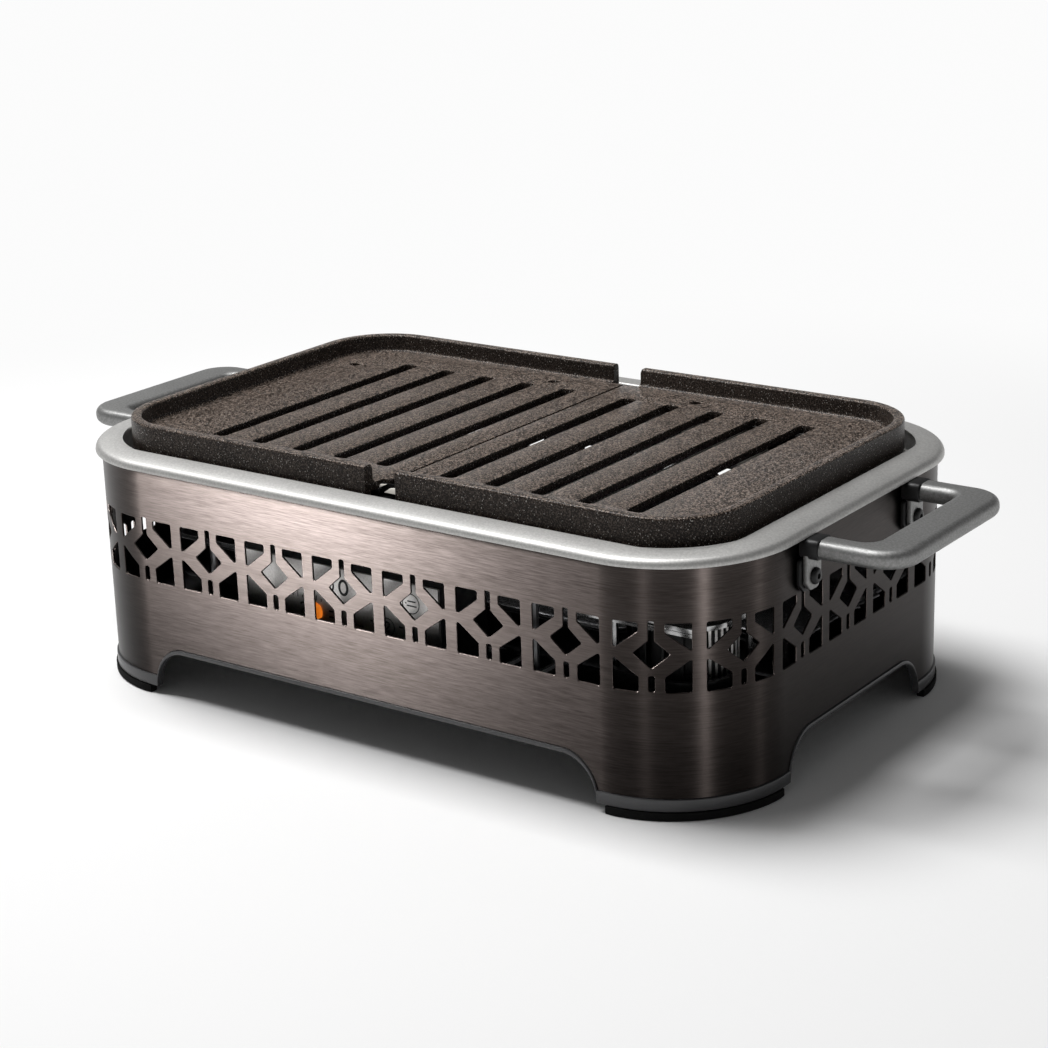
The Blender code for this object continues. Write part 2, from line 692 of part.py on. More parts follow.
def make_feet():
    """Rubber pads that follow the corners of the trim."""
    middle = (TRIM_PROUD - HOUSING_SHEET - CLEARANCE - TRIM_WALL) / 2
    names = ("front_right", "rear_right", "rear_left", "front_left")
    for index, name in enumerate(names):
        sign_x = (1, 1, -1, -1)[index]
        sign_y = (-1, 1, 1, -1)[index]
        outline = []
        for reach, order in ((middle + FOOT_WIDTH / 2, 1), (middle - FOOT_WIDTH / 2, -1)):
            for step in list(range(CORNER_FACETS + 1))[::order]:
                angle = math.radians(45.0 - FOOT_SWEEP_DEG / 2 + FOOT_SWEEP_DEG * step / CORNER_FACETS)
                radius = HOUSING_RADIUS + reach
                outline.append((sign_x * (FRONT_FLAT + radius * math.cos(angle)),
                                sign_y * (SIDE_FLAT + radius * math.sin(angle))))
        add_object("rubber_foot_" + name, prism("foot", outline, 0.0, FOOT_HEIGHT), rubber())


def make_rim():
    """Pressed ring: rolled edge hooked over the sleeve, flat top, flange and inner ledge."""
    top = BASE_Z + RIM_TOP_LEVEL
    middle = RIM_PROUD - RIM_ROLL
    roll_steps = RIM_STEPS // 2
    section = []
    for step in range(roll_steps + 1):
        angle = math.pi / 2 * step / roll_steps
        section.append((middle + RIM_ROLL * math.sin(angle), top - RIM_ROLL + RIM_ROLL * math.cos(angle)))
    section += [(RIM_PROUD, top - RIM_SKIRT), (CLEARANCE, top - RIM_SKIRT), (CLEARANCE, RIM_UNDERSIDE)]
    loops = []
    for offset, z in section:
        outline = rounded_rectangle(HOUSING_HALF_LENGTH + offset, HOUSING_HALF_DEPTH + offset,
                                    HOUSING_RADIUS + offset, CORNER_FACETS)
        loops.append(at_height(outline, z))
    bottom = top - RIM_FLANGE
    ledge = bottom + RIM_SHEET
    for offset, z in ((RIM_SHEET, RIM_UNDERSIDE), (RIM_SHEET, bottom), (-RIM_LEDGE, bottom), (-RIM_LEDGE, ledge),
                      (0.0, ledge), (0.0, top - RIM_SHEET / 2), (RIM_SHEET / 2, top)):
        outline = rounded_rectangle(RIM_OPENING_HALF_LENGTH + offset, RIM_OPENING_HALF_DEPTH + offset,
                                    RIM_OPENING_RADIUS + offset, CORNER_FACETS)
        loops.append(at_height(outline, z))
    add_object("top_rim", loft("top_rim", loops), satin_silver())


def plate_blank():
    """Both plates as one cast tray: skirt, wall with a rounded top, and floor."""
    top = BASE_Z + PLATE_TOP_LEVEL
    floor = BASE_Z + PLATE_FLOOR_LEVEL
    under = floor - PLATE_FLOOR
    bottom = BASE_Z + PLATE_BOTTOM_LEVEL
    edge = PLATE_WALL_ROUND
    eased = edge * PLATE_ROUND_SHARE
    section = [(PLATE_SKIRT, under), (PLATE_SKIRT, bottom), (0.0, bottom), (0.0, top - edge),
               (eased, top - eased), (edge, top), (PLATE_WALL - edge, top),
               (PLATE_WALL - eased, top - eased), (PLATE_WALL, top - edge),
               (PLATE_WALL, floor + edge), (PLATE_WALL + edge, floor)]
    loops = []
    for inset, z in section:
        outline = rounded_rectangle(PLATE_HALF_LENGTH - inset, PLATE_HALF_DEPTH - inset,
                                    PLATE_RADIUS - inset, PLATE_STEPS)
        loops.append(at_height(outline, z))
    return loft("plate_blank", loops, closed=False)


def slot_places(side):
    """Places along X of one plate's slots."""
    return [side * (SLOT_FIRST + SLOT_PITCH * i) for i in range(SLOT_COUNT)]


def make_plate(name, side, front_notch, rear_notch, setback):
    """One lift-off plate with its slots, its seam edge and its notches."""
    plate = add_object(name, plate_blank(), plate_coating())
    top = BASE_Z + PLATE_TOP_LEVEL + CUT_OVERRUN
    bottom = BASE_Z + PLATE_BOTTOM_LEVEL - CUT_OVERRUN
    reach_x = PLATE_HALF_LENGTH + CUT_OVERRUN
    reach_y = PLATE_HALF_DEPTH + CUT_OVERRUN
    seam = sorted((side * SEAM_GAP / 2, -side * reach_x))
    half = add_object(name + "_half", block("half", (seam[0], -reach_y, bottom), (seam[1], reach_y, top)))
    cut(plate, half)
    cutters = []
    for x in slot_places(side):
        outline = rounded_rectangle(SLOT_WIDTH / 2, SLOT_HALF_LENGTH, SLOT_CORNER, 2, (x, 0.0))
        cutters.append(prism("slot", outline, bottom, BASE_Z + PLATE_FLOOR_LEVEL + CUT_OVERRUN))
    inner = PLATE_HALF_DEPTH - PLATE_WALL
    for face, notch, depth in ((-1, front_notch, setback), (1, rear_notch, 0.0)):
        ends_x = sorted((0.0, side * notch))
        ends_y = sorted((face * (inner - depth), face * reach_y))
        cutters.append(block("notch", (ends_x[0], ends_y[0], bottom), (ends_x[1], ends_y[1], top)))
    cut(plate, add_object(name + "_cuts", joined(name + "_cuts", cutters)))


def handle_outline(side):
    """The flat U of a handle seen from above, rounded inside and outside its corners."""
    root = TAB_INNER_X + CLEARANCE
    tip = HOUSING_HALF_LENGTH + HANDLE_REACH
    points = []
    for half, edge, radius, order in ((HANDLE_HALF_WIDTH, tip, HANDLE_OUTER_RADIUS, 1),
                                      (HANDLE_HALF_WIDTH - HANDLE_ARM_WIDTH, tip - HANDLE_BAR_WIDTH,
                                       HANDLE_INNER_RADIUS, -1)):
        run = [(root, -half)]
        for corner in (-1, 1):
            for step in range(HANDLE_CORNER_STEPS + 1):
                angle = math.pi / 2 * (step / HANDLE_CORNER_STEPS + (0 if corner > 0 else -1))
                run.append((edge - radius + radius * math.cos(angle),
                            corner * (half - radius) + radius * math.sin(angle)))
        run.append((root, half))
        points += run[::order]
    return [(side * x, y) for x, y in points]


def tab_outline(y, grow):
    """The down-turned tab seen from the side, in places along Y and Z."""
    half = TAB_HALF_WIDTH + grow
    tip = BASE_Z + TAB_TIP_LEVEL - grow
    top = HANDLE_TOP_Z - HANDLE_THICKNESS / 2
    return [(y - half, top), (y - half, tip + TAB_POINT), (y - half / 2, tip + TAB_SHOULDER), (y, tip),
            (y + half / 2, tip + TAB_SHOULDER), (y + half, tip + TAB_POINT), (y + half, top)]


def make_handle(name, side):
    """Handle with a tab at each arm, bored for its screw."""
    flat = prism(name, handle_outline(side), HANDLE_TOP_Z - HANDLE_THICKNESS, HANDLE_TOP_Z)
    handle = add_object(name, flat, satin_silver())
    edge = handle.modifiers.new("edge", "BEVEL")
    edge.width = HANDLE_EDGE
    edge.segments = 2
    edge.limit_method = "ANGLE"
    edge.angle_limit = math.radians(60.0)
    tabs = []
    bores = []
    for y in (-TAB_Y, TAB_Y):
        tabs.append(prism("tab", tab_outline(y, 0.0), side * TAB_INNER_X, side * TAB_OUTER_X, "X"))
        bore = circle(HANDLE_SCREW_RADIUS + CLEARANCE, SMALL_SIDES, (y, SCREW_Z))
        ends = (side * (TAB_INNER_X - CUT_OVERRUN), side * (TAB_OUTER_X + CUT_OVERRUN))
        bores.append(prism("bore", bore, ends[0], ends[1], "X"))
    cut(handle, add_object(name + "_tabs", joined(name + "_tabs", tabs)), "UNION")
    cut(handle, add_object(name + "_bores", joined(name + "_bores", bores)))


def make_handle_fixings(side_name, side):
    """Spacers between the tabs and the sleeve, screws, and the strap inside."""
    inner_x = side * (HOUSING_HALF_LENGTH + CLEARANCE)
    outer_x = side * (TAB_INNER_X - CLEARANCE)
    strap_far = HOUSING_HALF_LENGTH - HOUSING_SHEET - CLEARANCE
    strap_near = strap_far - STRAP_THICKNESS
    radius = HANDLE_SCREW_RADIUS + CLEARANCE
    bores = []
    for end_name, y in (("front", -TAB_Y), ("rear", TAB_Y)):
        tag = side_name + "_" + end_name
        blank = prism("spacer", tab_outline(y, -CLEARANCE), inner_x, outer_x, "X")
        spacer = add_object("handle_spacer_" + tag, blank, black_plastic())
        hole = circle(radius, SMALL_SIDES, (y, SCREW_Z))
        through = prism("bore", hole, inner_x - side * CUT_OVERRUN, outer_x + side * CUT_OVERRUN, "X")
        cut(spacer, add_object("spacer_bore_" + tag, through))
        ends = (side * (strap_near - CUT_OVERRUN), side * (strap_far + CUT_OVERRUN))
        bores.append(prism("bore", hole, ends[0], ends[1], "X"))
        head = side * (TAB_OUTER_X + CLEARANCE)
        dome = side * HANDLE_SCREW_HEAD
        profile = [(HANDLE_SCREW_RADIUS, side * (strap_near - CUT_OVERRUN)), (HANDLE_SCREW_RADIUS, head),
                   (HANDLE_SCREW_HEAD_RADIUS, head), (HANDLE_SCREW_HEAD_RADIUS, head + dome / 2),
                   (HANDLE_SCREW_HEAD_RADIUS * HANDLE_SCREW_DOME_SHARE, head + dome)]
        screw = turned("screw", profile, (0.0, y, SCREW_Z), SMALL_SIDES, "X")
        add_object("handle_screw_" + tag, screw, black_plastic())
    half = TAB_Y + STRAP_END
    outline = rounded_rectangle(half, STRAP_HEIGHT / 2, STRAP_CORNER, 2, (0.0, SCREW_Z))
    strap = add_object("handle_strap_" + side_name, prism("strap", outline, side * strap_near, side * strap_far, "X"),
                       zinc_steel())
    cut(strap, add_object("strap_bores_" + side_name, joined("bores", bores)))


def make_base_plate():
    """Vented floor plate inside the trim's lip, drilled for the tie bolts."""
    inset = HOUSING_SHEET + CLEARANCE + TRIM_WALL + CLEARANCE
    outline = rounded_rectangle(HOUSING_HALF_LENGTH - inset, HOUSING_HALF_DEPTH - inset,
                                HOUSING_RADIUS - inset, CORNER_FACETS)
    low = BASE_Z + BASE_PLATE_LEVEL
    plate = add_object("base_plate", prism("base_plate", outline, low, BASE_TOP_Z), zinc_steel())
    cutters = []
    for row_y in (-BASE_VENT_ROW_Y, BASE_VENT_ROW_Y):
        for i in range(BASE_VENT_COUNT):
            x = BASE_VENT_PITCH * (i - (BASE_VENT_COUNT - 1) / 2)
            near = (x - BASE_VENT_WIDTH / 2, row_y - BASE_VENT_HALF_LENGTH, low - CUT_OVERRUN)
            far = (x + BASE_VENT_WIDTH / 2, row_y + BASE_VENT_HALF_LENGTH, BASE_TOP_Z + CUT_OVERRUN)
            cutters.append(block("vent", near, far))
    for x, y in bolt_places():
        hole = circle(TIE_BOLT_RADIUS + CLEARANCE, SMALL_SIDES, (x, y))
        cutters.append(prism("hole", hole, low - CUT_OVERRUN, BASE_TOP_Z + CUT_OVERRUN))
    cut(plate, add_object("base_plate_cuts", joined("cuts", cutters)))


def bolt_places():
    return [(x, y) for x in (-TIE_BOLT_X, TIE_BOLT_X) for y in (-TIE_BOLT_Y, TIE_BOLT_Y)]


def make_tie_bolts():
    """Long bolts from under the base plate up to the rim."""
    names = ("left_front", "left_rear", "right_front", "right_rear")
    head_top = BASE_Z + BASE_PLATE_LEVEL - CLEARANCE
    for name, (x, y) in zip(names, bolt_places()):
        profile = [(TIE_BOLT_HEAD_RADIUS, head_top - TIE_BOLT_HEAD), (TIE_BOLT_HEAD_RADIUS, head_top),
                   (TIE_BOLT_RADIUS, head_top), (TIE_BOLT_RADIUS, RIM_UNDERSIDE - CLEARANCE)]
        add_object("tie_bolt_" + name, turned("bolt", profile, (x, y, 0.0), SMALL_SIDES), zinc_steel())


def make_reflector_frame():
    """Bright sheet frame inside the rim's flange, with an inward ledge for the rails."""
    half_x = RIM_OPENING_HALF_LENGTH - CLEARANCE
    half_y = RIM_OPENING_HALF_DEPTH - CLEARANCE
    radius = RIM_OPENING_RADIUS - CLEARANCE
    low = BASE_Z + FRAME_BOTTOM_LEVEL
    top = BASE_Z + FRAME_TOP_LEVEL
    loops = []
    for inset, z in ((0.0, low), (0.0, top), (FRAME_SHEET, top), (FRAME_SHEET, low + FRAME_SHEET),
                     (FRAME_FLANGE, low + FRAME_SHEET), (FRAME_FLANGE, low)):
        outline = rounded_rectangle(half_x - inset, half_y - inset, radius - inset, RIM_STEPS)
        loops.append(at_height(outline, z))
    add_object("reflector_frame", loft("reflector_frame", loops), bright_steel())


def rail_bottom():
    return BASE_Z + FRAME_BOTTOM_LEVEL + FRAME_SHEET + CLEARANCE


def make_element_rails():
    """Angle rails across the frame that carry the ceramic blocks."""
    low = rail_bottom()
    half = RAIL_WIDTH / 2
    for name, side in (("front", -1), ("rear", 1)):
        section = [(-half, low), (half, low), (half, low + RAIL_LIP), (half - RAIL_SHEET, low + RAIL_LIP),
                   (half - RAIL_SHEET, low + RAIL_SHEET), (-half, low + RAIL_SHEET)]
        outline = [(side * (RAIL_Y + y), z) for y, z in section]
        add_object("element_rail_" + name, prism("rail", outline, -RAIL_HALF_LENGTH, RAIL_HALF_LENGTH, "X"),
                   zinc_steel())


def make_ceramic_blocks():
    """Ceramic blocks with a hole for each run of the coil."""
    low = rail_bottom() + RAIL_SHEET + CLEARANCE
    high = COIL_Z + BLOCK_HEAD
    for side_name, side in (("left", -1), ("right", 1)):
        middle = side * (COIL_RUN_INNER_X + COIL_RUN_OUTER_X) / 2
        for end_name, face in (("front", -1), ("rear", 1)):
            name = "ceramic_block_" + side_name + "_" + end_name
            chamfer = BLOCK_CHAMFER
            outline = [(middle - BLOCK_HALF_WIDTH, low), (middle + BLOCK_HALF_WIDTH, low),
                       (middle + BLOCK_HALF_WIDTH, high - chamfer), (middle + BLOCK_HALF_WIDTH - chamfer, high),
                       (middle - BLOCK_HALF_WIDTH + chamfer, high), (middle - BLOCK_HALF_WIDTH, high - chamfer)]
            near = face * (RAIL_Y - BLOCK_THICKNESS / 2) - CLEARANCE * face
            far = near + face * BLOCK_THICKNESS
            piece = add_object(name, prism("block", outline, near, far, "Y"), ceramic())
            bores = []
            for x in (side * COIL_RUN_INNER_X, side * COIL_RUN_OUTER_X):
                hole = circle(COIL_WIRE_RADIUS + CLEARANCE, SMALL_SIDES, (x, COIL_Z))
                bores.append(prism("bore", hole, near - face * CUT_OVERRUN, far + face * CUT_OVERRUN, "Y"))
            cut(piece, add_object(name + "_bores", joined("bores", bores)))


def coil_run(x, direction):
    """Points of one coiled run along Y: the curls open from the axis and close on it."""
    total = COIL_CURLS * COIL_POINTS_PER_CURL
    points = []
    for i in range(total + 1):
        share = i / total
        opening = min(1.0, i / COIL_POINTS_PER_CURL, (total - i) / COIL_POINTS_PER_CURL)
        angle = 2 * math.pi * i / COIL_POINTS_PER_CURL
        y = direction * COIL_HALF_LENGTH * (2 * share - 1)
        reach = COIL_RADIUS * opening
        points.append((x + reach * math.sin(angle), y, COIL_Z + reach * math.cos(angle)))
    return points


def coil_path(side):
    """One wire: in at the front, coiled to the back, round, and coiled to the front."""
    near_x = side * COIL_RUN_INNER_X
    far_x = side * COIL_RUN_OUTER_X
    end_y = RAIL_Y + BLOCK_THICKNESS / 2 + COIL_LEAD / 2
    points = [(near_x, -end_y, COIL_Z), (near_x, -COIL_HALF_LENGTH - COIL_WIRE_RADIUS * 2, COIL_Z)]
    points += coil_run(near_x, 1)
    points.append((near_x, COIL_HALF_LENGTH + COIL_WIRE_RADIUS * 2, COIL_Z))
    bend = (far_x - near_x) / 2
    start_y = RAIL_Y + BLOCK_THICKNESS / 2
    for i in range(COIL_TURN_POINTS):
        angle = math.pi * i / (COIL_TURN_POINTS - 1)
        points.append((near_x + bend * (1 - math.cos(angle)), start_y + COIL_LEAD / 2 * math.sin(angle), COIL_Z))
    points.append((far_x, COIL_HALF_LENGTH + COIL_WIRE_RADIUS * 2, COIL_Z))
    points += coil_run(far_x, -1)
    points.append((far_x, -COIL_HALF_LENGTH - COIL_WIRE_RADIUS * 2, COIL_Z))
    points.append((far_x, -end_y, COIL_Z))
    return points


def least_gap(points, diameter):
    """Least gap between stretches of a tube that are more than half a curl apart."""
    places = np.array(points)
    steps = np.linalg.norm(np.diff(places, axis=0), axis=1)
    along = np.concatenate([[0.0], np.cumsum(steps)])
    apart = np.abs(along[:, None] - along[None, :])
    distance = np.linalg.norm(places[:, None] - places[None, :], axis=2)
    return float(distance[apart > math.pi * COIL_RADIUS].min() - diameter)


def make_heating_coil(name, side):
    """The coiled resistance wire under one plate, a single unbroken tube."""
    points = coil_path(side)
    print(name, "least gap to itself in mm:", round(least_gap(points, 2 * COIL_WIRE_RADIUS) * 1000, 2))
    curve = bpy.data.curves.new(name, "CURVE")
    curve.dimensions = "3D"
    curve.bevel_depth = COIL_WIRE_RADIUS
    curve.bevel_resolution = 1
    curve.use_fill_caps = True
    spline = curve.splines.new("POLY")
    spline.points.add(len(points) - 1)
    for place, point in zip(spline.points, points):
        place.co = (*point, 1.0)
    curve.materials.append(heater_wire())
    made = bpy.data.objects.new(name, curve)
    bpy.context.scene.collection.objects.link(made)


def make_thermostat():
    """Disc thermostat on the front rail, under the seam between the plates."""
    low = rail_bottom() + RAIL_SHEET + CLEARANCE
    top = low + THERMOSTAT_HEIGHT
    profile = [(THERMOSTAT_RADIUS, low), (THERMOSTAT_RADIUS, top), (THERMOSTAT_CAP_RADIUS, top),
               (THERMOSTAT_CAP_RADIUS, top + THERMOSTAT_CAP)]
    add_object("thermostat", turned("thermostat", profile, (0.0, -RAIL_Y, 0.0), ROUND_SIDES), ceramic())


def inset_outline(corners, inset, radius, steps):
    """Rounded outline of a square-cornered shape, moved inwards by an inset."""
    count = len(corners)
    points = []
    for i in range(count):
        before = Vector(corners[i]) - Vector(corners[i - 1])
        after = Vector(corners[(i + 1) % count]) - Vector(corners[i])
        before.normalize()
        after.normalize()
        turn = before.x * after.y - before.y * after.x
        inward = Vector((-before.y, before.x)) + Vector((-after.y, after.x))
        corner = Vector(corners[i]) + inward * inset
        size = radius - turn * inset
        centre = corner + (after - before) * size
        start = math.atan2(-after.y, -after.x)
        for step in range(steps + 1):
            angle = start + turn * math.pi / 2 * step / steps
            points.append((centre.x + size * math.cos(angle), centre.y + size * math.sin(angle)))
    return points


def make_drip_tray():
    """Sheet tray with a rolled-out rim, notched at the corner where the blower stands."""
    corners = [(TRAY_LEFT_X, TRAY_FRONT_Y), (TRAY_NOTCH_X, TRAY_FRONT_Y), (TRAY_NOTCH_X, TRAY_NOTCH_Y),
               (TRAY_RIGHT_X, TRAY_NOTCH_Y), (TRAY_RIGHT_X, TRAY_BACK_Y), (TRAY_LEFT_X, TRAY_BACK_Y)]
    low = BASE_Z + TRAY_BOTTOM_LEVEL
    top = BASE_Z + TRAY_RIM_LEVEL
    under = top - TRAY_SHEET
    wall = TRAY_RIM + TRAY_SHEET
    section = [(TRAY_RIM, low), (TRAY_RIM, under), (TRAY_SHEET, under), (TRAY_SHEET, under - TRAY_SHEET),
               (0.0, under - TRAY_SHEET), (0.0, top), (wall, top), (wall, low + TRAY_SHEET)]
    loops = [at_height(inset_outline(corners, inset, TRAY_RADIUS, TRAY_STEPS), z) for inset, z in section]
    add_object("drip_tray", loft("drip_tray", loops, closed=False), bright_steel())


def make_tray_rails():
    """Two folded rails on the base plate that the drip tray rests on."""
    low = BASE_TOP_Z + CLEARANCE
    high = BASE_Z + TRAY_BOTTOM_LEVEL - CLEARANCE
    half = TRAY_RAIL_WIDTH / 2
    sheet = BASE_PLATE_SHEET
    for name, y in (("front", -TRAY_RAIL_Y), ("rear", TRAY_RAIL_Y)):
        section = [(-half, low), (-half + sheet, low), (-half + sheet, high - sheet), (half - sheet, high - sheet),
                   (half - sheet, low), (half, low), (half, high), (-half, high)]
        outline = [(y + a, b) for a, b in section]
        add_object("tray_rail_" + name, prism("rail", outline, -TRAY_RAIL_HALF_LENGTH, TRAY_NOTCH_X - half, "X"),
                   zinc_steel())


def make_control_box():
    """Sheet box behind the front openings, open to the panel."""
    low = (BOX_LEFT_X, BOX_FRONT_Y, BASE_TOP_Z + CLEARANCE)
    high = (BOX_RIGHT_X, BOX_BACK_Y, BASE_Z + BOX_TOP_LEVEL)
    box = add_object("control_box", block("control_box", low, high), zinc_steel())
    sheet = BOX_SHEET
    inner_low = (low[0] + sheet, low[1] - CUT_OVERRUN, low[2] + sheet)
    inner_high = (high[0] - sheet, high[1] - sheet, high[2] - sheet)
    cut(box, add_object("control_box_inside", block("inside", inner_low, inner_high)))


def make_control_panel():
    """Silver panel with the selector's slot and the lamp's hole."""
    low = BASE_TOP_Z + CLEARANCE
    high = BASE_Z + BOX_TOP_LEVEL
    back = BOX_FRONT_Y - CLEARANCE
    panel = add_object("control_panel", block("panel", (BOX_LEFT_X, PANEL_FRONT_Y, low), (BOX_RIGHT_X, back, high)),
                       satin_silver())
    half = SELECTOR_TRAVEL + SELECTOR_HALF_WIDTH + CLEARANCE
    height = SELECTOR_THICKNESS / 2 + CLEARANCE
    z = BASE_Z + SELECTOR_LEVEL
    start = PANEL_FRONT_Y - CUT_OVERRUN
    end = back + CUT_OVERRUN
    slot = rounded_rectangle(half + height, height, height / 2, 2, (SELECTOR_X, z))
    hole = circle(LAMP_RADIUS + CLEARANCE, ROUND_SIDES, (LAMP_X, BASE_Z + LAMP_LEVEL))
    cut(panel, add_object("panel_holes", joined("holes", [prism("slot", slot, start, end, "Y"),
                                                          prism("hole", hole, start, end, "Y")])))


def make_pilot_lamp():
    """Domed amber lens with its body behind the panel."""
    front = PANEL_FRONT_Y - LAMP_PROUD
    profile = [(LAMP_RADIUS, BOX_FRONT_Y + LAMP_BODY), (LAMP_RADIUS, front + LAMP_PROUD / 2),
               (LAMP_RADIUS * LAMP_BEZEL_SHARE, front + LAMP_TIP), (LAMP_RADIUS * LAMP_TIP_SHARE, front)]
    lens = turned("lamp", profile, (LAMP_X, 0.0, BASE_Z + LAMP_LEVEL), ROUND_SIDES, "Y")
    add_object("pilot_lamp", lens, amber_lens())


def make_selector():
    """Heat selector: a lever through the panel's slot, with a finger piece in front."""
    z = BASE_Z + SELECTOR_LEVEL
    half = SELECTOR_HALF_WIDTH
    thin = SELECTOR_THICKNESS / 2
    tongue_end = BOX_FRONT_Y + SWITCH_STANDOFF + SELECTOR_TONGUE
    knob_back = PANEL_FRONT_Y - CLEARANCE
    knob_front = knob_back - SELECTOR_KNOB_DEPTH
    tall = SELECTOR_KNOB_HEIGHT / 2
    taper = SELECTOR_KNOB_TAPER
    section = [(tongue_end, z - thin), (knob_back, z - thin), (knob_back, z - tall), (knob_front + taper, z - tall),
               (knob_front, z - tall + taper), (knob_front, z + tall - taper), (knob_front + taper, z + tall),
               (knob_back, z + tall), (knob_back, z + thin), (tongue_end, z + thin)]
    lever = prism("heat_selector", section, SELECTOR_X - half, SELECTOR_X + half, "X")
    made = add_object("heat_selector", lever, black_plastic())
    origin = Vector((SELECTOR_X, PANEL_FRONT_Y, z))
    move_origin(made, origin)


def move_origin(made, origin):
    """Put an object's origin on its joint without moving its shape."""
    for vertex in made.data.vertices:
        vertex.co -= origin
    made.location = origin


def make_switch():
    """Switch body behind the panel, grooved for the selector's tongue."""
    z = BASE_Z + SELECTOR_LEVEL
    front = BOX_FRONT_Y + SWITCH_STANDOFF
    low = (SELECTOR_X - SWITCH_HALF_WIDTH, front, z - SWITCH_HALF_HEIGHT)
    high = (SELECTOR_X + SWITCH_HALF_WIDTH, front + SWITCH_DEPTH, z + SWITCH_HALF_HEIGHT)
    body = add_object("selector_switch", block("selector_switch", low, high), black_plastic())
    half = SELECTOR_TRAVEL + SELECTOR_HALF_WIDTH + CLEARANCE
    thin = SELECTOR_THICKNESS / 2 + CLEARANCE
    groove = block("groove", (SELECTOR_X - half, front - CUT_OVERRUN, z - thin),
                   (SELECTOR_X + half, front + SELECTOR_TONGUE + CLEARANCE, z + thin))
    cut(body, add_object("switch_groove", groove))


def make_terminal_block():
    """Ceramic terminal block on the floor of the control box."""
    low_z = BASE_TOP_Z + CLEARANCE + BOX_SHEET + CLEARANCE
    middle_y = (BOX_FRONT_Y + BOX_BACK_Y) / 2
    low = (TERMINAL_X - TERMINAL_HALF_WIDTH, middle_y - TERMINAL_DEPTH / 2, low_z)
    high = (TERMINAL_X + TERMINAL_HALF_WIDTH, middle_y + TERMINAL_DEPTH / 2, low_z + TERMINAL_HEIGHT)
    body = add_object("terminal_block", block("terminal_block", low, high), ceramic())
    bores = []
    for i in range(TERMINAL_WAYS):
        x = TERMINAL_X + TERMINAL_HALF_WIDTH * ((2 * i + 1) / TERMINAL_WAYS - 1)
        hole = circle(TERMINAL_BORE_RADIUS, SMALL_SIDES, (x, low_z + TERMINAL_HEIGHT / 2))
        bores.append(prism("bore", hole, low[1] - CUT_OVERRUN, high[1] + CUT_OVERRUN, "Y"))
    cut(body, add_object("terminal_bores", joined("bores", bores)))


def blower_outline(inset):
    return rounded_rectangle(BLOWER_HALF_LENGTH - inset, BLOWER_HALF_DEPTH - inset, BLOWER_RADIUS - inset,
                             RIM_STEPS, (BLOWER_X, BLOWER_Y))


def post_places():
    """The blower's corner posts."""
    reach = BLOWER_RADIUS - BLOWER_POST_INSET
    spread_x = BLOWER_HALF_LENGTH - BLOWER_RADIUS + reach * math.sqrt(0.5)
    spread_y = BLOWER_HALF_DEPTH - BLOWER_RADIUS + reach * math.sqrt(0.5)
    return [(BLOWER_X + a * spread_x, BLOWER_Y + b * spread_y) for a in (-1, 1) for b in (-1, 1)]


def make_blower_pan():
    """Lower half of the blower case: floor and turned-up rim, on the motor."""
    low = BASE_Z + BLOWER_PAN_LEVEL
    sheet = BLOWER_SHEET
    top = BASE_Z + TRAY_RIM_LEVEL
    wall = BLOWER_PAN_RIM / 2 + sheet
    section = [(BLOWER_PAN_RIM / 2, low), (BLOWER_PAN_RIM / 2, top - sheet), (0.0, top - sheet), (0.0, top),
               (wall, top), (wall, low + sheet)]
    loops = [at_height(blower_outline(inset), z) for inset, z in section]
    pan = add_object("blower_pan", loft("blower_pan", loops, closed=False), bright_steel())
    hole = circle(SHAFT_RADIUS + CLEARANCE, SMALL_SIDES, (BLOWER_X, BLOWER_Y))
    cut(pan, add_object("pan_hole", prism("hole", hole, low - CUT_OVERRUN, low + sheet + CUT_OVERRUN)))


def make_blower_cover():
    """Upper plate of the blower case with its air inlet, on four posts."""
    low = BASE_Z + BLOWER_COVER_LEVEL
    sheet = BLOWER_SHEET
    section = [(0.0, low), (0.0, low + BLOWER_COVER_EDGE), (sheet, low + BLOWER_COVER_EDGE), (sheet, low + sheet)]
    loops = [at_height(blower_outline(inset), z) for inset, z in section]
    cover = add_object("blower_cover", loft("blower_cover", loops, closed=False), bright_steel())
    post_low = BASE_Z + BLOWER_PAN_LEVEL + sheet + CLEARANCE
    posts = [prism("post", circle(BLOWER_POST_RADIUS, SMALL_SIDES, place), post_low, low + sheet / 2)
             for place in post_places()]
    cut(cover, add_object("cover_posts", joined("posts", posts)), "UNION")
    inlet = circle(BLOWER_INLET_RADIUS, ROUND_SIDES, (BLOWER_X, BLOWER_Y))
    over = low + BLOWER_COVER_EDGE + CUT_OVERRUN
    cut(cover, add_object("cover_inlet", prism("inlet", inlet, low - CUT_OVERRUN, over)))


def make_motor():
    """Blower motor on the base plate, bored for the wheel's shaft."""
    low = BASE_TOP_Z + CLEARANCE
    top = BASE_Z + BLOWER_PAN_LEVEL - CLEARANCE
    profile = [(MOTOR_BASE_RADIUS, low), (MOTOR_RADIUS, low + MOTOR_SHOULDER),
               (MOTOR_RADIUS, top - MOTOR_SHOULDER), (MOTOR_NOSE_RADIUS, top)]
    blank = turned("motor", profile, (BLOWER_X, BLOWER_Y, 0.0), ROUND_SIDES)
    motor = add_object("blower_motor", blank, zinc_steel())
    hole = circle(SHAFT_RADIUS + CLEARANCE, SMALL_SIDES, (BLOWER_X, BLOWER_Y))
    bore = prism("bore", hole, top - SHAFT_DEPTH - CLEARANCE, top + CUT_OVERRUN)
    cut(motor, add_object("motor_bore", bore))


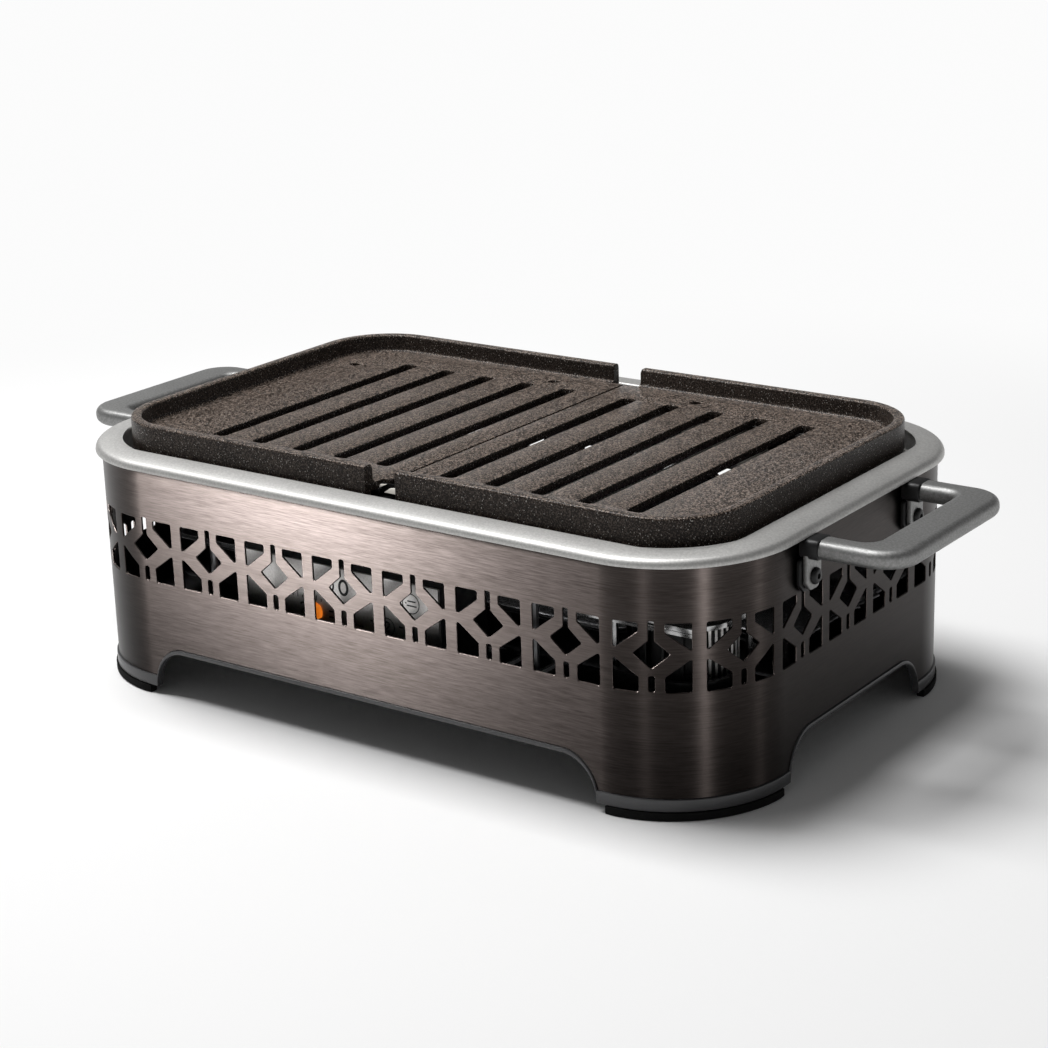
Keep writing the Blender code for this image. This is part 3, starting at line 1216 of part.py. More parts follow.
def blade(index, low, high):
    """One forward-leaning curved blade of the wheel, from inner to outer radius."""
    steps = WHEEL_BLADE_POINTS
    inner = WHEEL_RADIUS - WHEEL_BLADE_DEPTH
    outer = WHEEL_RADIUS - BLADE_SINK
    lean = math.radians(WHEEL_BLADE_LEAN_DEG)
    base = 2 * math.pi * index / WHEEL_BLADES
    front = []
    back = []
    for i in range(steps):
        share = i / (steps - 1)
        radius = inner + (outer - inner) * share
        angle = base + lean * share ** 2
        half = WHEEL_BLADE_SHEET / 2 / radius
        front.append((radius * math.cos(angle - half), radius * math.sin(angle - half)))
        back.append((radius * math.cos(angle + half), radius * math.sin(angle + half)))
    return prism("blade", front + back[::-1], low, high)


def make_fan_wheel():
    """Squirrel-cage wheel: disc, hub and shaft turned in one, blades, and a top ring."""
    floor = BASE_Z + BLOWER_PAN_LEVEL + BLOWER_SHEET
    disc_low = floor + WHEEL_FLOOR_GAP
    disc_top = disc_low + WHEEL_DISC
    ring_top = BASE_Z + BLOWER_COVER_LEVEL - WHEEL_COVER_GAP
    ring_low = ring_top - WHEEL_RING
    shaft_low = BASE_Z + BLOWER_PAN_LEVEL - CLEARANCE - SHAFT_DEPTH
    profile = [(SHAFT_RADIUS, shaft_low), (SHAFT_RADIUS, disc_low), (WHEEL_RADIUS, disc_low),
               (WHEEL_RADIUS, disc_top), (WHEEL_HUB_RADIUS, disc_top),
               (WHEEL_HUB_TOP_RADIUS, disc_top + WHEEL_HUB_HEIGHT)]
    wheel = add_object("fan_wheel", turned("fan_wheel", profile, (0.0, 0.0, 0.0), ROUND_SIDES), black_plastic())
    wheel.location = (BLOWER_X, BLOWER_Y, 0.0)
    blades = [blade(i, disc_top - WHEEL_DISC / 2, ring_low + WHEEL_RING / 2) for i in range(WHEEL_BLADES)]
    cage = add_object("wheel_blades", joined("wheel_blades", blades))
    ring_inner = WHEEL_RADIUS - WHEEL_RING_WIDTH
    loops = [at_height(circle(radius, ROUND_SIDES), z) for radius, z in (
        (ring_inner, ring_low), (WHEEL_RADIUS, ring_low), (WHEEL_RADIUS, ring_top), (ring_inner, ring_top))]
    ring = add_object("wheel_ring", loft("wheel_ring", loops))
    for operand in (cage, ring):
        operand.location = wheel.location
        cut(wheel, operand, "UNION")


def make_inlet():
    """Three-pin mains inlet in the back of the sleeve, with a flange inside the wall."""
    place = inlet_place()
    back = HOUSING_HALF_DEPTH + INLET_PROUD
    outline = inlet_outline(0.0, place)
    inlet = add_object("mains_inlet", prism("mains_inlet", outline, back - INLET_DEPTH, back, "Y"), black_plastic())
    recess = inlet_outline(-INLET_WALL, place)
    floor = back - INLET_RECESS
    flange_far = HOUSING_HALF_DEPTH - HOUSING_SHEET - CLEARANCE
    flange = prism("flange", inlet_outline(INLET_WALL, place), flange_far - INLET_WALL, flange_far, "Y")
    cut(inlet, add_object("inlet_flange", flange), "UNION")
    cut(inlet, add_object("inlet_recess", prism("recess", recess, floor, back + CUT_OVERRUN, "Y")))
    pins = []
    offset = INLET_PIN_OFFSET
    for x, z in ((-INLET_PIN_SPACING, -offset), (0.0, offset), (INLET_PIN_SPACING, -offset)):
        middle = (place[0] + x, place[2] + z)
        low = (middle[0] - INLET_PIN_HALF_WIDTH, floor - CUT_OVERRUN, middle[1] - INLET_PIN_HALF_HEIGHT)
        high = (middle[0] + INLET_PIN_HALF_WIDTH, floor + INLET_PIN_LENGTH, middle[1] + INLET_PIN_HALF_HEIGHT)
        pins.append(block("pin", low, high))
    cut(inlet, add_object("inlet_pins", joined("pins", pins)), "UNION")


def build():
    clear_scene()
    make_housing()
    make_base_trim()
    make_feet()
    make_rim()
    make_plate("grill_plate_left", -1, SEAM_NOTCH_LEFT, REAR_NOTCH_LEFT, 0.0)
    make_plate("grill_plate_right", 1, SEAM_NOTCH_RIGHT, REAR_NOTCH_RIGHT, SEAM_NOTCH_SETBACK)
    for side_name, side in (("left", -1), ("right", 1)):
        make_handle("handle_" + side_name, side)
        make_handle_fixings(side_name, side)
        make_heating_coil("heating_coil_" + side_name, side)
    make_base_plate()
    make_tie_bolts()
    make_reflector_frame()
    make_element_rails()
    make_ceramic_blocks()
    make_thermostat()
    make_drip_tray()
    make_tray_rails()
    make_control_box()
    make_control_panel()
    make_pilot_lamp()
    make_selector()
    make_switch()
    make_terminal_block()
    make_blower_pan()
    make_blower_cover()
    make_motor()
    make_fan_wheel()
    make_inlet()


build()
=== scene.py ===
"""Looks of the electric grill: fine sheet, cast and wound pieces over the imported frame,
their finishes, a pale floor, soft studio light and the camera.

Metres, in the frame's own axes: +Z up, +X along the long side, front towards -Y.
Heights named ..._LEVEL are measured from the lower edge of the base trim.
"""

import math

import bmesh
import bpy
import numpy as np
from mathutils import Matrix


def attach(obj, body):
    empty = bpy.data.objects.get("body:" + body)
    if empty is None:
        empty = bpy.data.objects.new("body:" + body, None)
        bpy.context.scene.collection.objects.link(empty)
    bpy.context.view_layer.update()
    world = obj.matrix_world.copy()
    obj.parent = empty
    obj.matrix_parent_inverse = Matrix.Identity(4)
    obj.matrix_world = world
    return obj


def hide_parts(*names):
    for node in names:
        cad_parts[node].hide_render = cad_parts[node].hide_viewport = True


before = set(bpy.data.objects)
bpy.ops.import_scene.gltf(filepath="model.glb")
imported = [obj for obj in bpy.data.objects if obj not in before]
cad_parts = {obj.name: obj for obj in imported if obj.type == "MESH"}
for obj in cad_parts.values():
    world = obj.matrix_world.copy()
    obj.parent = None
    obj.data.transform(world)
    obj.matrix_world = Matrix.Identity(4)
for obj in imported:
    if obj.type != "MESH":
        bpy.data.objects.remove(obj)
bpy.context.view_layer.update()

GAP = 0.0003
BASE_Z = 0.0043

HALF_LENGTH = 0.1985
HALF_DEPTH = 0.128
CORNER_RADIUS = 0.060
BODY = (HALF_LENGTH, HALF_DEPTH, CORNER_RADIUS)
SHEET = 0.0012
SLEEVE_TOP = 0.1192
FRONT_FLAT = HALF_LENGTH - CORNER_RADIUS
SIDE_FLAT = HALF_DEPTH - CORNER_RADIUS
PERIMETER = 4 * (FRONT_FLAT + SIDE_FLAT) + 2 * math.pi * CORNER_RADIUS

CELLS = 28
CELL_PHASE = -0.2
CELL_STEPS = 24
PITCH = PERIMETER / CELLS
BAND_LOW = 0.0550
BAND_HIGH = 0.0925

TRIM_FOOT = 0.006
TRIM_THICK = 0.0022
TRIM_PROUD = 0.0010
TRIM_WALL = 0.0012
TRIM_LIP = 0.003
ARCH_LEVEL = 0.0205
ARCH_SHOULDER = 0.019
FRONT_ARCH = 0.136
SIDE_ARCH = 0.064
ARCHES = (FRONT_ARCH, SIDE_ARCH) * 2

RIM_TOP = 0.1211
RIM_CORNER_STEPS = 24
RIM_FRONT_STEPS = 60
RIM_SIDE_STEPS = 30
RIM_OPENING = (0.184, 0.1142, 0.036)
LEDGE_DEPTH = 0.0120
LEDGE_THICK = 0.0013
LEDGE_REACH = 0.0080
LEDGE_X = 0.090
LEDGE_HALF = 0.022

PLATE = (0.180, 0.111, 0.038)
PLATE_STEPS = 20
PLATE_WALL = 0.0056
PLATE_TOP = 0.1330
PLATE_FLOOR = 0.1238
PLATE_UNDER = 0.1196
PLATE_BOTTOM = 0.1168
PLATE_FILLET = 0.0020
PLATE_EASE = 0.0013
SMALL_HOLES = {-1: [(0.1568, 0.067), (0.0367, 0.0905)], 1: [(0.0535, 0.0912)]}
SEAM = 0.0012
SLOT_FIRST = 0.0197
SLOT_PITCH = 0.02675
SLOT_WIDTH = 0.0084
SLOT_HALF_LENGTH = 0.081

BLOWER_X = 0.1515
BLOWER_Y = -0.0777
GUARD_RADIUS = 0.0262
GUARD_BAR = 0.0013
GUARD_SHEET = 0.0006
GUARD_LOW = 0.0545
GUARD_HIGH = 0.0825

HANDLE_REACH = 0.0517
HANDLE_HALF_WIDTH = 0.056
HANDLE_BAR = 0.0215
HANDLE_ARM = 0.0132
HANDLE_THICK = 0.009
HANDLE_TOP = 0.1156
SHEATH_LENGTH = 0.0095
TAB_IN = HALF_LENGTH + 0.0026
TAB_THICK = 0.0025
TAB_Y = 0.0503
SCREW_LEVEL = 0.0975

INLET_X = 0.0086
INLET_LEVEL = 0.0395
INLET_WIDTH = 0.025
INLET_HEIGHT = 0.018
PANEL_FRONT = -0.1123

COIL_LEVEL = 0.1085
COIL_RADIUS = 0.0048
COIL_TURNS = 54
COIL_REACH = 0.078

FLOOR_REACH = 60.0
WHITE = 0.97


# Finishes


def finish_named(name):
    """A new node material, its tree and its Principled shader."""
    made = bpy.data.materials.new(name)
    made.use_nodes = True
    return made, made.node_tree, made.node_tree.nodes["Principled BSDF"]


def feed(made, **values):
    """Set a node's properties, and set or link its inputs by name or by number (_0)."""
    for key, value in values.items():
        if hasattr(made, key):
            setattr(made, key, value)
            continue
        socket = made.inputs[int(key[1:]) if key[0] == "_" else key.replace("_", " ")]
        if isinstance(value, bpy.types.NodeSocket):
            made.id_data.links.new(value, socket)
        else:
            socket.default_value = value
    return made


def node(tree, kind, **values):
    """Add a shader node and feed it."""
    return feed(tree.nodes.new("ShaderNode" + kind), **values)


def coords(tree, kind="Object"):
    """Texture coordinates of one kind."""
    return node(tree, "TexCoord").outputs[kind]


def stretched(vector, scale):
    """A vector scaled along each axis."""
    return node(vector.id_data, "Mapping", Vector=vector, Scale=scale).outputs["Vector"]


def axis_of(vector, axis):
    """One axis of a vector."""
    return node(vector.id_data, "SeparateXYZ", _0=vector).outputs[axis]


def noise(vector, scale, detail=3.0, rough=0.5):
    """Fractal noise with features about 1/scale metres wide."""
    made = node(vector.id_data, "TexNoise", Vector=vector, Scale=scale, Detail=detail, Roughness=rough)
    return made.outputs["Fac"]


def ramp(value, stops):
    """Colour ramp from (place, colour) stops; a number stands for a grey."""
    made = node(value.id_data, "ValToRGB", Fac=value)
    for i, (place, colour) in enumerate(stops):
        stop = made.color_ramp.elements[i] if i < 2 else made.color_ramp.elements.new(place)
        stop.position = place
        grey = colour if isinstance(colour, tuple) else (colour,) * 3
        stop.color = (*grey, 1.0)
    return made.outputs["Color"]


def remap(value, low, high, **values):
    """Spread a value over another range; it runs from 0 to 1 unless the values say else."""
    return node(value.id_data, "MapRange", Value=value, To_Min=low, To_Max=high, **values).outputs["Result"]


def eased(value, start, end, low=0.0, high=1.0):
    """Smooth step from low to high while the value goes from start to end."""
    return remap(value, low, high, interpolation_type="SMOOTHSTEP", From_Min=start, From_Max=end)


def joined(operation, first, second):
    """Two values added, multiplied or compared."""
    return node(first.id_data, "Math", operation=operation, _0=first, _1=second).outputs[0]


def mixed(share, colour, other):
    """A colour that gives way to another plain one by a share."""
    return node(share.id_data, "Mix", data_type="RGBA", Factor=share, _6=colour, _7=(*other, 1.0)).outputs[2]


def bump(height, strength, distance):
    """Relief from a height value."""
    return node(height.id_data, "Bump", Height=height, Strength=strength, Distance=distance).outputs["Normal"]


def brushed(name, dark, light, rough, spread, painted_light_by_height):
    """Brushed sheet: noise drawn out along its UV map shades colour, roughness and relief.

    The painted light by height scales the colour evenly from the foot of the sheet to its top: a painted
    shade at the foot and a painted highlight towards the top.
    """
    made, tree, shader = finish_named(name)
    along, place = node(tree, "Tangent", direction_type="UV_MAP", uv_map="along"), coords(tree, "UV")
    fine = noise(stretched(place, (80.0, 1500.0, 1.0)), 1.0, 4.0, 0.65)
    broad = noise(stretched(place, (9.6, 180.0, 0.12)), 1.0, 2.0)
    grain = joined("ADD", fine, remap(broad, -0.12, 0.12))
    tone = ramp(grain, [(0.30, dark), (0.72, light)])
    # Painted light: the colour is scaled from the first factor at the foot to the second at the top, painted
    # shade low on the sheet and painted highlight high.
    share = remap(axis_of(place, "Y"), *painted_light_by_height, From_Min=0.02, From_Max=0.119)
    tone_with_painted_light = node(tree, "VectorMath", operation="SCALE", _0=tone, Scale=share)
    feed(shader, Base_Color=tone_with_painted_light.outputs[0], Roughness=remap(fine, rough - 0.04, rough + 0.05),
         Normal=bump(fine, 0.12, 0.00006), Metallic=1.0, Anisotropic=spread, Anisotropic_Rotation=0.25,
         Tangent=along.outputs["Tangent"])
    return made


def satin(name, dark, light, rough, grain=900.0):
    """Blasted satin metal: fine even grain in colour, roughness and relief."""
    made, tree, shader = finish_named(name)
    fine = noise(coords(tree), grain, 3.0, 0.6)
    broad = noise(coords(tree), 35.0, 2.0)
    feed(shader, Base_Color=ramp(fine, [(0.35, dark), (0.65, light)]),
         Roughness=remap(broad, rough - 0.05, rough + 0.06),
         Normal=bump(fine, 0.25, 0.00005), Metallic=1.0)
    return made


def moulded(name, dark, light, rough, grain=1400.0, relief=0.00008, shine=0.5):
    """Moulded plastic or rubber: a fine pebble grain and a slow drift of tone."""
    made, tree, shader = finish_named(name)
    fine = noise(coords(tree), grain, 2.0)
    broad = noise(coords(tree), 28.0)
    feed(shader, Base_Color=ramp(broad, [(0.3, dark), (0.7, light)]),
         Roughness=remap(fine, rough - 0.06, rough + 0.08),
         Normal=bump(fine, 0.4, relief), Specular_IOR_Level=shine)
    return made


def speckled_coating():
    """Non-stick coating: brown-black enamel with a pebbled skin and pale grains in it.

    The pale sand grain is the coating's own, but it is painted thicker on faces that look up and thinner on
    the walls: painted light on the tops and painted shade on the walls.
    """
    made, tree, shader = finish_named("speckled_coating")
    where = coords(tree)
    up = axis_of(node(tree, "NewGeometry").outputs["Normal"], "Z")
    ground = ramp(noise(where, 60.0, 4.0, 0.6),
                  [(0.3, (0.012, 0.0086, 0.0068)), (0.7, (0.021, 0.0152, 0.012))])
    dust = ramp(noise(where, 1300.0, 1.0), [(0.51, 0.0), (0.57, 1.0)])
    # Painted light: faces that look up take the full share of the pale sand, walls only 0.24 of it, so the
    # walls read darker as if shaded.
    sand_with_painted_top_light = joined("MULTIPLY", dust, eased(up, 0.3, 0.8, 0.24))
    sand_tone_with_painted_top_light = mixed(sand_with_painted_top_light, ground, (0.240, 0.190, 0.157))
    grains = node(tree, "TexVoronoi", feature="F1", Vector=where, Scale=1000.0).outputs["Distance"]
    some = ramp(noise(where, 1100.0, 1.0), [(0.555, 0.0), (0.60, 1.0)])
    specks = joined("MULTIPLY", ramp(grains, [(0.22, 1.0), (0.32, 0.0)]), some)
    pebble = noise(where, 800.0, 3.0, 0.7)
    feed(shader, Base_Color=mixed(specks, sand_tone_with_painted_top_light, (0.50, 0.47, 0.44)),
         Roughness=remap(pebble, 0.24, 0.42), Normal=bump(pebble, 0.8, 0.0002),
         Specular_IOR_Level=0.16)
    return made


def lamp_lens():
    """Amber lens: tinted clear plastic with a low glow from the lamp in it."""
    made, tree, shader = finish_named("amber_lens")
    tint = ramp(noise(coords(tree), 400.0, 1.0),
                [(0.2, (0.80, 0.16, 0.01)), (0.8, (0.95, 0.30, 0.03))])
    feed(shader, Base_Color=tint, Emission_Color=tint, Emission_Strength=0.6, Roughness=0.12)
    return made


def make_finishes():
    """All finishes by a plain name."""
    return {
        # The bronze's (0.68, 1.9) is painted light: its colour is darkened to 0.68 at the foot and brightened
        # to 1.9 times at the top.
        "bronze": brushed("brushed_bronze", (0.018, 0.0148, 0.0135), (0.036, 0.0303, 0.0283), 0.40, 0.95,
                          (0.68, 1.9)),
        "silver": satin("satin_silver", (0.46, 0.455, 0.445), (0.57, 0.565, 0.55), 0.55),
        "panel": satin("panel_silver", (0.70, 0.68, 0.66), (0.84, 0.82, 0.80), 0.36),
        "handle": satin("satin_handle", (0.22, 0.22, 0.217), (0.31, 0.31, 0.305), 0.52),
        "bright": satin("bright_steel", 0.40, 0.52, 0.24, 300.0),
        "tray": satin("dark_steel", (0.095, 0.095, 0.098), (0.150, 0.150, 0.154), 0.26, 300.0),
        "zinc": satin("zinc_steel", 0.12, (0.19, 0.19, 0.195), 0.40, 120.0),
        "wire": satin("heater_wire", (0.62, 0.60, 0.58), (0.80, 0.78, 0.76), 0.40, 700.0),
        "black": moulded("black_plastic", 0.008, (0.015, 0.015, 0.016), 0.38, shine=0.25),
        "trim": moulded("grey_trim", (0.042, 0.042, 0.044), (0.062, 0.062, 0.065), 0.34),
        "rubber": moulded("black_rubber", 0.004, 0.008, 0.8, 700.0, 0.00015, 0.1),
        "ink": moulded("panel_ink", (0.010, 0.010, 0.011), (0.018, 0.018, 0.019), 0.5, 900.0, 0.00002),
        "ceramic": moulded("white_ceramic", (0.60, 0.57, 0.51), (0.74, 0.71, 0.66), 0.5, 500.0),
        "coating": speckled_coating(),
        "amber": lamp_lens(),
    }


# Shapes


def rows_of(*axes):
    """Rows of points from their columns, each an array or one number."""
    return np.stack(np.broadcast_arrays(*axes), -1)


def path_round(half_x, half_y, radius, distance, offset=0.0, centre=(0.0, 0.0)):
    """Points a distance round a rounded rectangle, from the left end of its front.

    A core rectangle with square corners, plus the radius and offset along a normal whose
    angle stands still on each straight and turns a quarter at each corner.
    """
    flat_x, flat_y, arc = half_x - radius, half_y - radius, radius * math.pi / 2
    knots = np.cumsum([0, 2 * flat_x, arc, 2 * flat_y, arc, 2 * flat_x, arc, 2 * flat_y, arc])
    along = np.mod(distance, knots[-1])
    core_x = np.interp(along, knots, flat_x * np.array([-1, 1, 1, 1, 1, -1, -1, -1, -1]))
    core_y = np.interp(along, knots, flat_y * np.array([-1, -1, -1, 1, 1, 1, 1, -1, -1]))
    angle = np.interp(along, knots, math.pi / 2 * np.array([-1, -1, 0, 0, 1, 1, 2, 2, 3]))
    reach = radius + offset
    return centre[0] + core_x + reach * np.cos(angle), centre[1] + core_y + reach * np.sin(angle), angle


def round_stations(half_x, half_y, radius, steps, front=1, side=1):
    """Distances round a rounded rectangle: even steps in each corner and along each straight."""
    flat_x, flat_y, arc = half_x - radius, half_y - radius, radius * math.pi / 2
    found, start = [], 0.0
    for run, count in ((2 * flat_x, front), (arc, steps), (2 * flat_y, side), (arc, steps)) * 2:
        found.append(start + run * np.arange(count) / count)
        start += run
    return np.concatenate(found)


def loop_round(half_x, half_y, radius, steps, centre=(0.0, 0.0), offset=0.0):
    """Closed outline of a rounded rectangle as an array of points, anticlockwise."""
    stations = round_stations(half_x, half_y, radius, steps)
    x, y, _ = path_round(half_x, half_y, radius, stations, offset, centre)
    return rows_of(x, y)


def wall(distance, offset, level):
    """Points of the housing wall, a distance round it from the middle of its front."""
    x, y, _ = path_round(*BODY, distance + FRONT_FLAT, offset)
    return rows_of(x, y, BASE_Z + level)


def wall_angle(distance):
    """Angle of the wall's outward normal at a distance round it."""
    return path_round(*BODY, distance + FRONT_FLAT)[2]


def arch(distance):
    """Height of the trim's lower edge: zero at a foot, a quarter ellipse, then flat."""
    rise = np.zeros_like(distance)
    for i, half in enumerate(ARCHES):
        away = np.abs((distance - PERIMETER / 4 * i + PERIMETER / 2) % PERIMETER - PERIMETER / 2)
        share = np.clip((half - away) / ARCH_SHOULDER, 0.0, 1.0)
        rise = np.maximum(rise, ARCH_LEVEL * np.sqrt(1.0 - (1.0 - share) ** 2))
    return rise


def trim_top(distance):
    """Height of the trim's upper edge, on which the sleeve stands."""
    return np.maximum(TRIM_FOOT, arch(distance) + TRIM_THICK)


def even_stations():
    """Distances round the sleeve at each column of the fretwork."""
    return np.arange(CELLS * CELL_STEPS) * PITCH / CELL_STEPS + (CELL_PHASE - 0.5) * PITCH


def edge_stations():
    """Distances round the lower edge: even steps, and closer ones on each arch shoulder."""
    found = [even_stations()]
    turn = 1.0 - np.cos(np.linspace(0.0, math.pi / 2, 15))
    for i, half in enumerate(ARCHES):
        for side in (-1, 1):
            found.append(PERIMETER / 4 * i + side * (half - ARCH_SHOULDER * turn))
    return np.unique(np.round(np.concatenate(found) % PERIMETER, 7))


def finished(name, parts, paint, hides=None, sharp=32.0, body="body"):
    """Put lots of points and faces into the scene as one piece."""
    points, faces = gathered(parts)
    mesh = bpy.data.meshes.new(name)
    mesh.from_pydata(points.tolist(), [], faces)
    work = bmesh.new()
    work.from_mesh(mesh)
    bmesh.ops.remove_doubles(work, verts=work.verts, dist=0.000002)
    bmesh.ops.recalc_face_normals(work, faces=work.faces)
    work.to_mesh(mesh)
    work.free()
    mesh.shade_smooth()
    mesh.set_sharp_from_angle(angle=math.radians(sharp))
    placed(name, mesh, paint, hides, body)


def linked(name, data):
    """A new object in the scene."""
    made = bpy.data.objects.new(name, data)
    bpy.context.scene.collection.objects.link(made)
    return made


def placed(name, mesh, paint, hides=None, body="body"):
    """Make a mesh a piece that rides on a body, and that may stand for a CAD node."""
    made = linked(name, mesh)
    mesh.materials.append(FINISH[paint])
    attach(made, body)
    if hides:
        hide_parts(hides)


def skin(rows, columns, wrap_rows=True):
    """Quads of a grid of points whose columns, and rows if they wrap, close round."""
    r = np.arange(rows if wrap_rows else rows - 1)[:, None]
    c = np.arange(columns)[None, :]
    row, next_row, after = r * columns, (r + 1) % rows * columns, (c + 1) % columns
    return rows_of(row + c, row + after, next_row + after, next_row + c).reshape(-1, 4)


def swept(loops, capped=False):
    """Points and faces of a skin through equal loops; an open run gets flat ends."""
    loops = np.asarray(loops)
    rows, columns = loops.shape[:2]
    faces = skin(rows, columns, not capped).tolist()
    if capped:
        faces += [list(range(columns))[::-1], list(range((rows - 1) * columns, rows * columns))]
    return loops.reshape(-1, 3), faces


def gathered(parts):
    """Several lots of points and faces as one."""
    points, faces, start = [], [], 0
    for some, those in parts:
        points.append(some)
        those = those if isinstance(those, list) else those.tolist()
        faces += [[i + start for i in face] for face in those]
        start += len(some)
    return np.concatenate(points), faces


def softened(corners, radius, steps=4):
    """Outline with each corner rounded: a quadratic curve between points set back from it."""
    corners = np.asarray(corners, float)
    before, after = np.roll(corners, 1, 0) - corners, np.roll(corners, -1, 0) - corners
    near, far = np.linalg.norm(before, axis=1), np.linalg.norm(after, axis=1)
    cosine = (before * after).sum(1) / near / far
    back = np.minimum(radius / np.tan(np.arccos(np.clip(cosine, -1, 1)) / 2), 0.45 * np.minimum(near, far))
    start = corners + before / near[:, None] * back[:, None]
    end = corners + after / far[:, None] * back[:, None]
    t = np.linspace(0, 1, steps + 1)[None, :, None]
    curve = (1 - t) ** 2 * start[:, None] + 2 * t * (1 - t) * corners[:, None] + t ** 2 * end[:, None]
    return curve.reshape(-1, 2)


def anticlockwise(outline):
    """The outline, turned round if it runs clockwise."""
    x, y = outline[:, 0], outline[:, 1]
    return outline if (x * np.roll(y, -1) - np.roll(x, -1) * y).sum() > 0 else outline[::-1]


def moved_out(outline, distance):
    """Outline moved along its normals, outwards where it runs anticlockwise."""
    ahead, back = np.roll(outline, -1, 0) - outline, outline - np.roll(outline, 1, 0)
    ahead /= np.maximum(np.linalg.norm(ahead, axis=1), 1e-12)[:, None]
    back /= np.maximum(np.linalg.norm(back, axis=1), 1e-12)[:, None]
    normal = rows_of(ahead[:, 1] + back[:, 1], -ahead[:, 0] - back[:, 0])
    length = np.linalg.norm(normal, axis=1)[:, None]
    normal /= np.maximum(length, 1e-9)
    lean = np.maximum((normal * rows_of(ahead[:, 1], -ahead[:, 0])).sum(1), 0.5)[:, None]
    return outline + normal * distance / lean


def pierced(border, holes, thick, edge, open_border=False, segments=2):
    """Flat sheet between depth 0 and -thick, with rounded edges along its border and holes.

    Each outline carries a profile: a quarter round from the face to the wall at the top
    and another at the bottom. The faces between the outlines are filled flat. An open
    border gets no wall, so that the sheet can join its neighbours.
    """
    work = bmesh.new()
    turn = np.linspace(0.0, math.pi / 2, segments + 1)
    profile = [(edge * (1 - math.sin(a)), -edge * (1 - math.cos(a))) for a in turn]
    profile += [(reach, -thick - depth) for reach, depth in profile[::-1]]
    outlines = [(np.asarray(outline, float), 1 if number else -1, open_border and not number)
                for number, outline in enumerate([border, *holes])]
    for face in (0, -1):
        reach, depth = profile[face]
        edges = []
        for outline, inward, bare in outlines:
            ring = outline if bare else moved_out(outline, inward * reach)
            made = [work.verts.new((u, v, depth)) for u, v in ring]
            edges += [work.edges.new((made[i - 1], made[i])) for i in range(len(made))]
        bmesh.ops.triangle_fill(work, use_beauty=True, use_dissolve=False, edges=edges,
                                normal=(0, 0, 1 + 2 * face))
    for outline, inward, bare in outlines:
        if bare:
            continue
        rows = [[work.verts.new((u, v, depth)) for u, v in moved_out(outline, inward * reach)]
                for reach, depth in profile]
        for upper, lower in zip(rows, rows[1:]):
            for i in range(len(upper)):
                work.faces.new((upper[i - 1], upper[i], lower[i], lower[i - 1]))
    bmesh.ops.remove_doubles(work, verts=work.verts, dist=0.0000005)
    return work


def arrays(work):
    """Points and faces of a bmesh, which is then freed."""
    work.verts.index_update()
    points = np.array([v.co[:] for v in work.verts])
    faces = [[v.index for v in f.verts] for f in work.faces]
    work.free()
    return points, faces


def sheet(border, holes, thick, edge, place=None, **options):
    """Points and faces of a pierced sheet, whose border may run either way round."""
    points, faces = arrays(pierced(anticlockwise(np.asarray(border, float)), holes, thick, edge, **options))
    return place(points) if place else points, faces


def lying(z, side=1):
    """Place for a sheet that lies flat with its face at z, mirrored for the left side."""
    return lambda points: (points + [0.0, 0.0, z]) * [side, 1, 1]


def facing_front(y, lean=0.0, level=0.0):
    """Place for a sheet that stands with its face to the front, at y or leaning about a level."""
    return lambda points: rows_of(
        points[:, 0], y + lean * (points[:, 1] - level) - points[:, 2], points[:, 1])


def facing_rear(y):
    """Place for a sheet that stands with its face to the rear at y."""
    return lambda points: rows_of(points[:, 0], y + points[:, 2], points[:, 1])


def facing_side(side, x):
    """Place for a sheet that stands with its face to one end, at a distance x from the middle."""
    return lambda points: rows_of(side * (x + points[:, 2]), points[:, 0], points[:, 1])


# The sleeve and its fretwork


def fret_openings():
    """The six openings of a fretwork cell, anticlockwise, in places round and up."""
    bar, post = PITCH / 2 - 0.0033, 0.0060
    quads = []
    for side in (-1, 1):
        upper = [(side * post, 0.0898), (side * bar, 0.0898), (side * bar, 0.0763), (side * post, 0.0857)]
        lower = [(side * bar, 0.0731), (side * bar, 0.0571), (side * post, 0.0571), (side * post, 0.0644)]
        for shape in (upper, lower):
            quads.append(softened(shape[::-1] if side > 0 else shape, 0.0011))
    slim, oval = 0.0014, 0.0015
    keyhole = [(slim, 0.0908), (-slim, 0.0908), (-slim, 0.0816), (-0.0086, 0.0754), (0.0, 0.0683),
               (0.0086, 0.0754), (slim, 0.0816)]
    slot = [(oval, 0.0650), (-oval, 0.0650), (-oval, 0.0574), (oval, 0.0574)]
    return quads + [softened(keyhole, 0.0008), softened(slot, 0.0014, 6)]


def fret_cell():
    """One flat cell of the fretwork band, cut across at even steps so that it can bend."""
    half = PITCH / 2
    border = [(-half, BAND_LOW), (half, BAND_LOW), (half, BAND_HIGH), (-half, BAND_HIGH)]
    openings = [anticlockwise(outline) for outline in fret_openings()]
    work = pierced(border, openings, SHEET, 0.00022, open_border=True, segments=1)
    for step in range(1, CELL_STEPS):
        everything = work.verts[:] + work.edges[:] + work.faces[:]
        place = half * (2 * step / CELL_STEPS - 1)
        bmesh.ops.bisect_plane(work, geom=everything, dist=0.000001, plane_co=(place, 0, 0),
                               plane_no=(1, 0, 0))
    return arrays(work)


